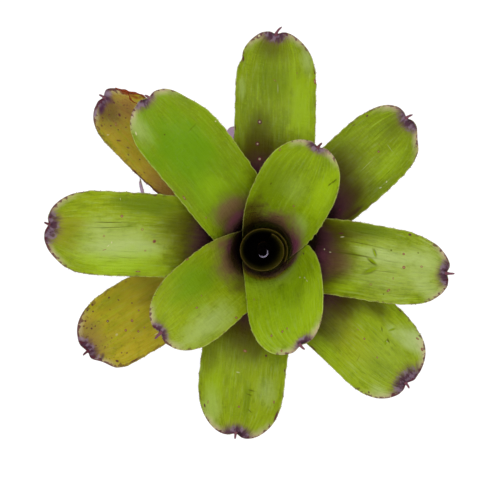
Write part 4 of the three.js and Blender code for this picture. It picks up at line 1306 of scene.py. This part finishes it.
def make_newest_leaf(scene):
    """The newest leaf, still a narrow roll at the bottom of the tube."""
    heart, apex = scene.neoregelia_heart, scene.neoregelia_stem.apex
    foot = apex + SHEATH.seat

    def surface(u, v):
        angle = BUD.start + BUD.roll * u
        lean = v * v
        slant = BUD.slant * np.cos(angle - BUD.high_side) * v
        point = around(BUD.radius + BUD.wall / 2 + BUD.flare * lean, angle, foot + BUD.height * v + slant)
        point[..., 0] += BUD.shift[0] * lean
        point[..., 1] += BUD.shift[1] * lean
        return point, around(1.0, angle, np.zeros(angle.shape))

    def edge_of(u, v):
        side = np.minimum(u, 1 - u) * BUD.roll * BUD.radius
        return np.minimum((1 - v) * BUD.height, side)

    # Painted highlight: strongest at the top of the roll, on its high side.
    def lit(u, v):
        angle = BUD.start + BUD.roll * u
        return smooth(v, 0.5, 1) * (0.5 + 0.5 * np.cos(angle - BUD.high_side))

    build = Build()
    rolled_shell(build, BUD.columns, BUD.rows, surface, BUD.wall, edge_of, lit=lit)
    material = bud_material(heart)
    return build.piece("newest_leaf_roll", material, "newest_leaf", "heart")


# ---------------------------------------------------------------- the stem


def seeded(seed):
    """The same draws, from 0 to 1, as the plant's solids were made with."""
    mask = 0xFFFFFFFF

    def draw():
        nonlocal seed
        seed = (seed + 0x6D2B79F5) & mask
        t = ((seed ^ seed >> 15) * (seed | 1)) & mask
        t ^= (t + (((t ^ t >> 7) * (t | 61)) & mask)) & mask
        return ((t ^ t >> 14) & mask) / 4294967296

    draw()
    return draw


def stem_body(build, stem):
    """The stub and the cone that carries the leaves, ringed with the scars of their sheaths."""
    profile = [
        (0, 0), (stem.cut_radius, 0), (stem.cut_radius + stem.bevel, stem.bevel),
        (stem.neck_radius, stem.neck_height), (CONE.radius, CONE.height), (CONE.apex_radius, stem.apex),
        (0, stem.apex),
    ]
    line = np.array(profile, float)
    travelled = np.concatenate([[0], np.cumsum(np.linalg.norm(np.diff(line, axis=0), axis=1))])
    places = np.unique(np.concatenate([np.linspace(0, travelled[-1], BARK.rows), travelled]))
    radius, z = (np.interp(places, travelled, line[:, i])[1:-1, None] for i in (0, 1))
    angle = np.linspace(0, 2 * math.pi, BARK.columns, endpoint=False)[None]
    side = smooth(z, *BARK.foot_zone) * smooth(stem.apex - z, 0, BARK.top_zone)
    height = z + 0 * angle
    rough = BARK.rough * waves(BARK.seed, angle * BARK.girth, height, BARK.rough_width, BARK.rough_height)
    rings = BARK.ring * np.sin(2 * math.pi * z / BARK.ring_gap)
    points = around(radius - side * (BARK.inset - rough * 0.6 - rings), angle, height)
    rows, columns = points.shape[:2]
    index = np.arange(rows * columns).reshape(rows, columns)
    turned = np.roll(index, -1, axis=1)
    quads = np.stack([index[:-1], turned[:-1], turned[1:], index[1:]], -1).reshape(-1, 4)
    ends = [rows * columns, rows * columns + 1]
    faces = [tuple(q) for q in quads]
    faces += [(ends[0], turned[0, j], index[0, j]) for j in range(columns)]
    faces += [(ends[1], index[-1, j], turned[-1, j]) for j in range(columns)]
    full = np.concatenate([points.reshape(-1, 3), [[0, 0, 0], [0, 0, stem.apex]]])
    cut = (full[:, 2] < BARK.cut_edge).astype(float)
    build.add(full, faces, flat=full / MM, cut=cut, horn=0.0)


def stem_roots(build, stem):
    """The trimmed roots, which leave the stub sideways and droop towards the floor."""
    draw = seeded(ROOTS.seed)

    def within(limits):
        return lerp(limits[0], limits[1], draw())

    for i in range(ROOTS.count):
        angle = (i + within((0, ROOTS.spread))) / ROOTS.count * 2 * math.pi
        bend = within(ROOTS.bend)
        reach = within(ROOTS.length)
        height = within(ROOTS.height)
        droop = within(ROOTS.droop)
        start = around(stem.neck_radius - ROOTS.sunk, angle, height)
        low = lerp(height, ROOTS.end_radius + ROOTS.end_clearance, droop)
        end = around(stem.neck_radius + reach, angle + bend, low)
        k = np.linspace(0, 1, ROOTS.steps)[:, None]
        side = unit(np.cross(end - start, [0, 0, 1]))
        kink = ROOTS.kink * np.sin(3 * math.pi * k + i) * np.sin(math.pi * k)
        line = lerp(start, end, k) + side * kink + np.array([0, 0, ROOTS.arch]) * np.sin(math.pi * k)
        radii = lerp(ROOTS.radius, ROOTS.end_radius, k[:, 0]) * (1 + 0.1 * np.sin(23 * k[:, 0] + i))
        radii[-1] *= 0.7
        points, faces = tube(line, radii, ROOTS.sides)
        points[:, 2] = np.maximum(points[:, 2], ROOTS.lowest)
        build.add(points, faces, flat=points / MM, cut=0.0, horn=1.0)


def make_stem(scene):
    build = Build()
    stem_body(build, scene.neoregelia_stem)
    stem_roots(build, scene.neoregelia_stem)
    return build.piece("stem_and_roots", stem_material(scene.neoregelia_stem), "stem", "stem")


# ---------------------------------------------------------------- the stage


def make_floor(stage):
    """A pale disc. The camera sees mostly its own glow, which is even, and the plant its reflection."""
    mesh = bpy.data.meshes.new("floor")
    angle = np.linspace(0, 2 * math.pi, FLOOR.corners, endpoint=False)
    mesh.from_pydata(around(FLOOR.radius, angle, 0.0).tolist(), [], [tuple(range(FLOOR.corners))])
    floor = bpy.data.objects.new("floor", mesh)
    bpy.context.scene.collection.objects.link(floor)
    shader = Shader(bpy.data.materials.new("floor"))
    colour = (*stage.floor, 1.0)
    matt = shader.node("BsdfDiffuse", None, {"Color": colour})
    glow = shader.node("Emission", None, {"Color": colour, "Strength": stage.glow})
    seen = shader.node("LightPath", output="Is Camera Ray") * FLOOR.own_glow
    surface = shader.node("MixShader", None, {0: seen, 1: matt, 2: glow})
    shader.node("OutputMaterial", None, {"Surface": surface})
    mesh.materials.append(shader.owner)


def make_light(name, azimuth, elevation, size, power, sheen=False):
    """A round soft light that faces the plant. A sheen light shows only in the gloss, and the others only in
    the colour, so that each can have its own breadth and power."""
    light = bpy.data.lights.new(name, "AREA")
    light.shape = "DISK"
    light.size = size
    light.energy = power
    lamp = bpy.data.objects.new(name, light)
    bpy.context.scene.collection.objects.link(lamp)
    up = math.radians(elevation)
    way = Vector(around(math.cos(up), math.radians(azimuth), math.sin(up)))
    lamp.location = way * LIGHTS.distance + Vector((0, 0, LIGHTS.aim_height))
    lamp.rotation_euler = way.to_track_quat("Z", "Y").to_euler()
    lamp.visible_diffuse = not sheen
    lamp.visible_glossy = sheen


def make_camera(stage):
    """A camera that looks straight down on the plant."""
    camera = bpy.data.cameras.new("camera")
    camera.sensor_width = 36
    camera.lens = camera.sensor_width * stage.distance / stage.field
    camera.shift_x = -AXIS_RIGHT / IMAGE_WIDTH
    camera.shift_y = -AXIS_UP / IMAGE_WIDTH
    camera.clip_start = 0.05
    seat = bpy.data.objects.new("camera", camera)
    bpy.context.scene.collection.objects.link(seat)
    seat.location = (0, 0, stage.focus + stage.distance)
    bpy.context.scene.camera = seat


def make_world(stage):
    """A pale backdrop, which lights the plant only a little."""
    world = bpy.data.worlds.new("backdrop")
    bpy.context.scene.world = world
    shader = Shader(world)
    colour = (*stage.floor, 1.0)
    sky = shader.node("Background", None, {"Color": colour, "Strength": stage.sky})
    wall = shader.node("Background", None, {"Color": colour, "Strength": 1.0})
    seen = shader.node("LightPath", output="Is Camera Ray")
    surface = shader.node("MixShader", None, {0: seen, 1: sky, 2: wall})
    shader.node("OutputWorld", None, {"Surface": surface})


# ---------------------------------------------------------------- operators


class StemOperator(bpy.types.Operator):
    """Build the stem with its trimmed roots"""

    bl_idname = "neoregelia.stem"
    bl_label = "Stem and Roots"

    def execute(self, context):
        make_stem(context.scene)
        return {"FINISHED"}


class HeartOperator(bpy.types.Operator):
    """Build the leaf that is rolled into the tube in the heart"""

    bl_idname = "neoregelia.heart"
    bl_label = "Heart Leaf"

    def execute(self, context):
        make_heart(context.scene)
        return {"FINISHED"}


class NewestLeafOperator(bpy.types.Operator):
    """Build the newest leaf, deep in the tube"""

    bl_idname = "neoregelia.newest_leaf"
    bl_label = "Newest Leaf"

    def execute(self, context):
        make_newest_leaf(context.scene)
        return {"FINISHED"}


class GreenLeavesOperator(bpy.types.Operator):
    """Build the ten green leaves"""

    bl_idname = "neoregelia.green_leaves"
    bl_label = "Green Leaves"

    def execute(self, context):
        make_leaves("green", context.scene)
        return {"FINISHED"}


class OliveLeavesOperator(bpy.types.Operator):
    """Build the two older, yellowing leaves"""

    bl_idname = "neoregelia.olive_leaves"
    bl_label = "Olive Leaves"

    def execute(self, context):
        make_leaves("olive", context.scene)
        return {"FINISHED"}


class OldLeavesOperator(bpy.types.Operator):
    """Build the two drooping old leaves"""

    bl_idname = "neoregelia.old_leaves"
    bl_label = "Old Leaves"

    def execute(self, context):
        make_leaves("old", context.scene)
        return {"FINISHED"}


class StageOperator(bpy.types.Operator):
    """Set up the floor, the lights, the backdrop and the camera"""

    bl_idname = "neoregelia.stage"
    bl_label = "Stage"

    def execute(self, context):
        make_stage(context.scene)
        return {"FINISHED"}


def make_leaves(tone, scene):
    plans = [plan for plan in LEAVES if plan.tone == tone]
    if not plans:
        raise RuntimeError(f"no leaf has the tone {tone}")
    for plan in plans:
        make_leaf(plan, scene)


def make_stage(scene):
    stage = scene.neoregelia_stage
    make_floor(stage)
    make_world(stage)
    make_camera(stage)
    for name, azimuth, elevation, share in FILL_LIGHTS:
        make_light(name, azimuth, elevation, LIGHTS.size, stage.fill * share)
    for name, azimuth, elevation, share in SHEEN_LIGHTS:
        make_light(name, azimuth, elevation, LIGHTS.sheen_size, stage.sheen * share, sheen=True)
    scene.view_settings.view_transform = "Standard"


class NeoregeliaPanel(bpy.types.Panel):
    """Lists the pieces and their settings."""

    bl_idname = "VIEW3D_PT_neoregelia"
    bl_label = "Neoregelia"
    bl_space_type = "VIEW_3D"
    bl_region_type = "UI"
    bl_category = "Neoregelia"

    def draw(self, context):
        for operator in OPERATORS:
            self.layout.operator(operator.bl_idname)
        for name in SETTINGS:
            group = getattr(context.scene, name)
            box = self.layout.box()
            box.label(text=group.__class__.__name__)
            for key in group.__annotations__:
                box.prop(group, key)


SETTINGS = {
    "neoregelia_blade": BladeSettings,
    "neoregelia_tints": LeafTints,
    "neoregelia_heart": HeartSettings,
    "neoregelia_stem": StemSettings,
    "neoregelia_stage": StageSettings,
}

OPERATORS = [
    StemOperator,
    NewestLeafOperator,
    HeartOperator,
    GreenLeavesOperator,
    OliveLeavesOperator,
    OldLeavesOperator,
    StageOperator,
]


def register():
    for made in (*SETTINGS.values(), *OPERATORS, NeoregeliaPanel):
        bpy.utils.register_class(made)
    for name, group in SETTINGS.items():
        setattr(bpy.types.Scene, name, PointerProperty(type=group))


def unregister():
    for name in SETTINGS:
        delattr(bpy.types.Scene, name)
    for made in (NeoregeliaPanel, *reversed(OPERATORS), *reversed(SETTINGS.values())):
        bpy.utils.unregister_class(made)


def main():
    register()
    bpy.ops.neoregelia.stem()
    bpy.ops.neoregelia.newest_leaf()
    bpy.ops.neoregelia.heart()
    bpy.ops.neoregelia.green_leaves()
    bpy.ops.neoregelia.olive_leaves()
    bpy.ops.neoregelia.old_leaves()
    bpy.ops.neoregelia.stage()


if __name__ == "__main__":
    main()
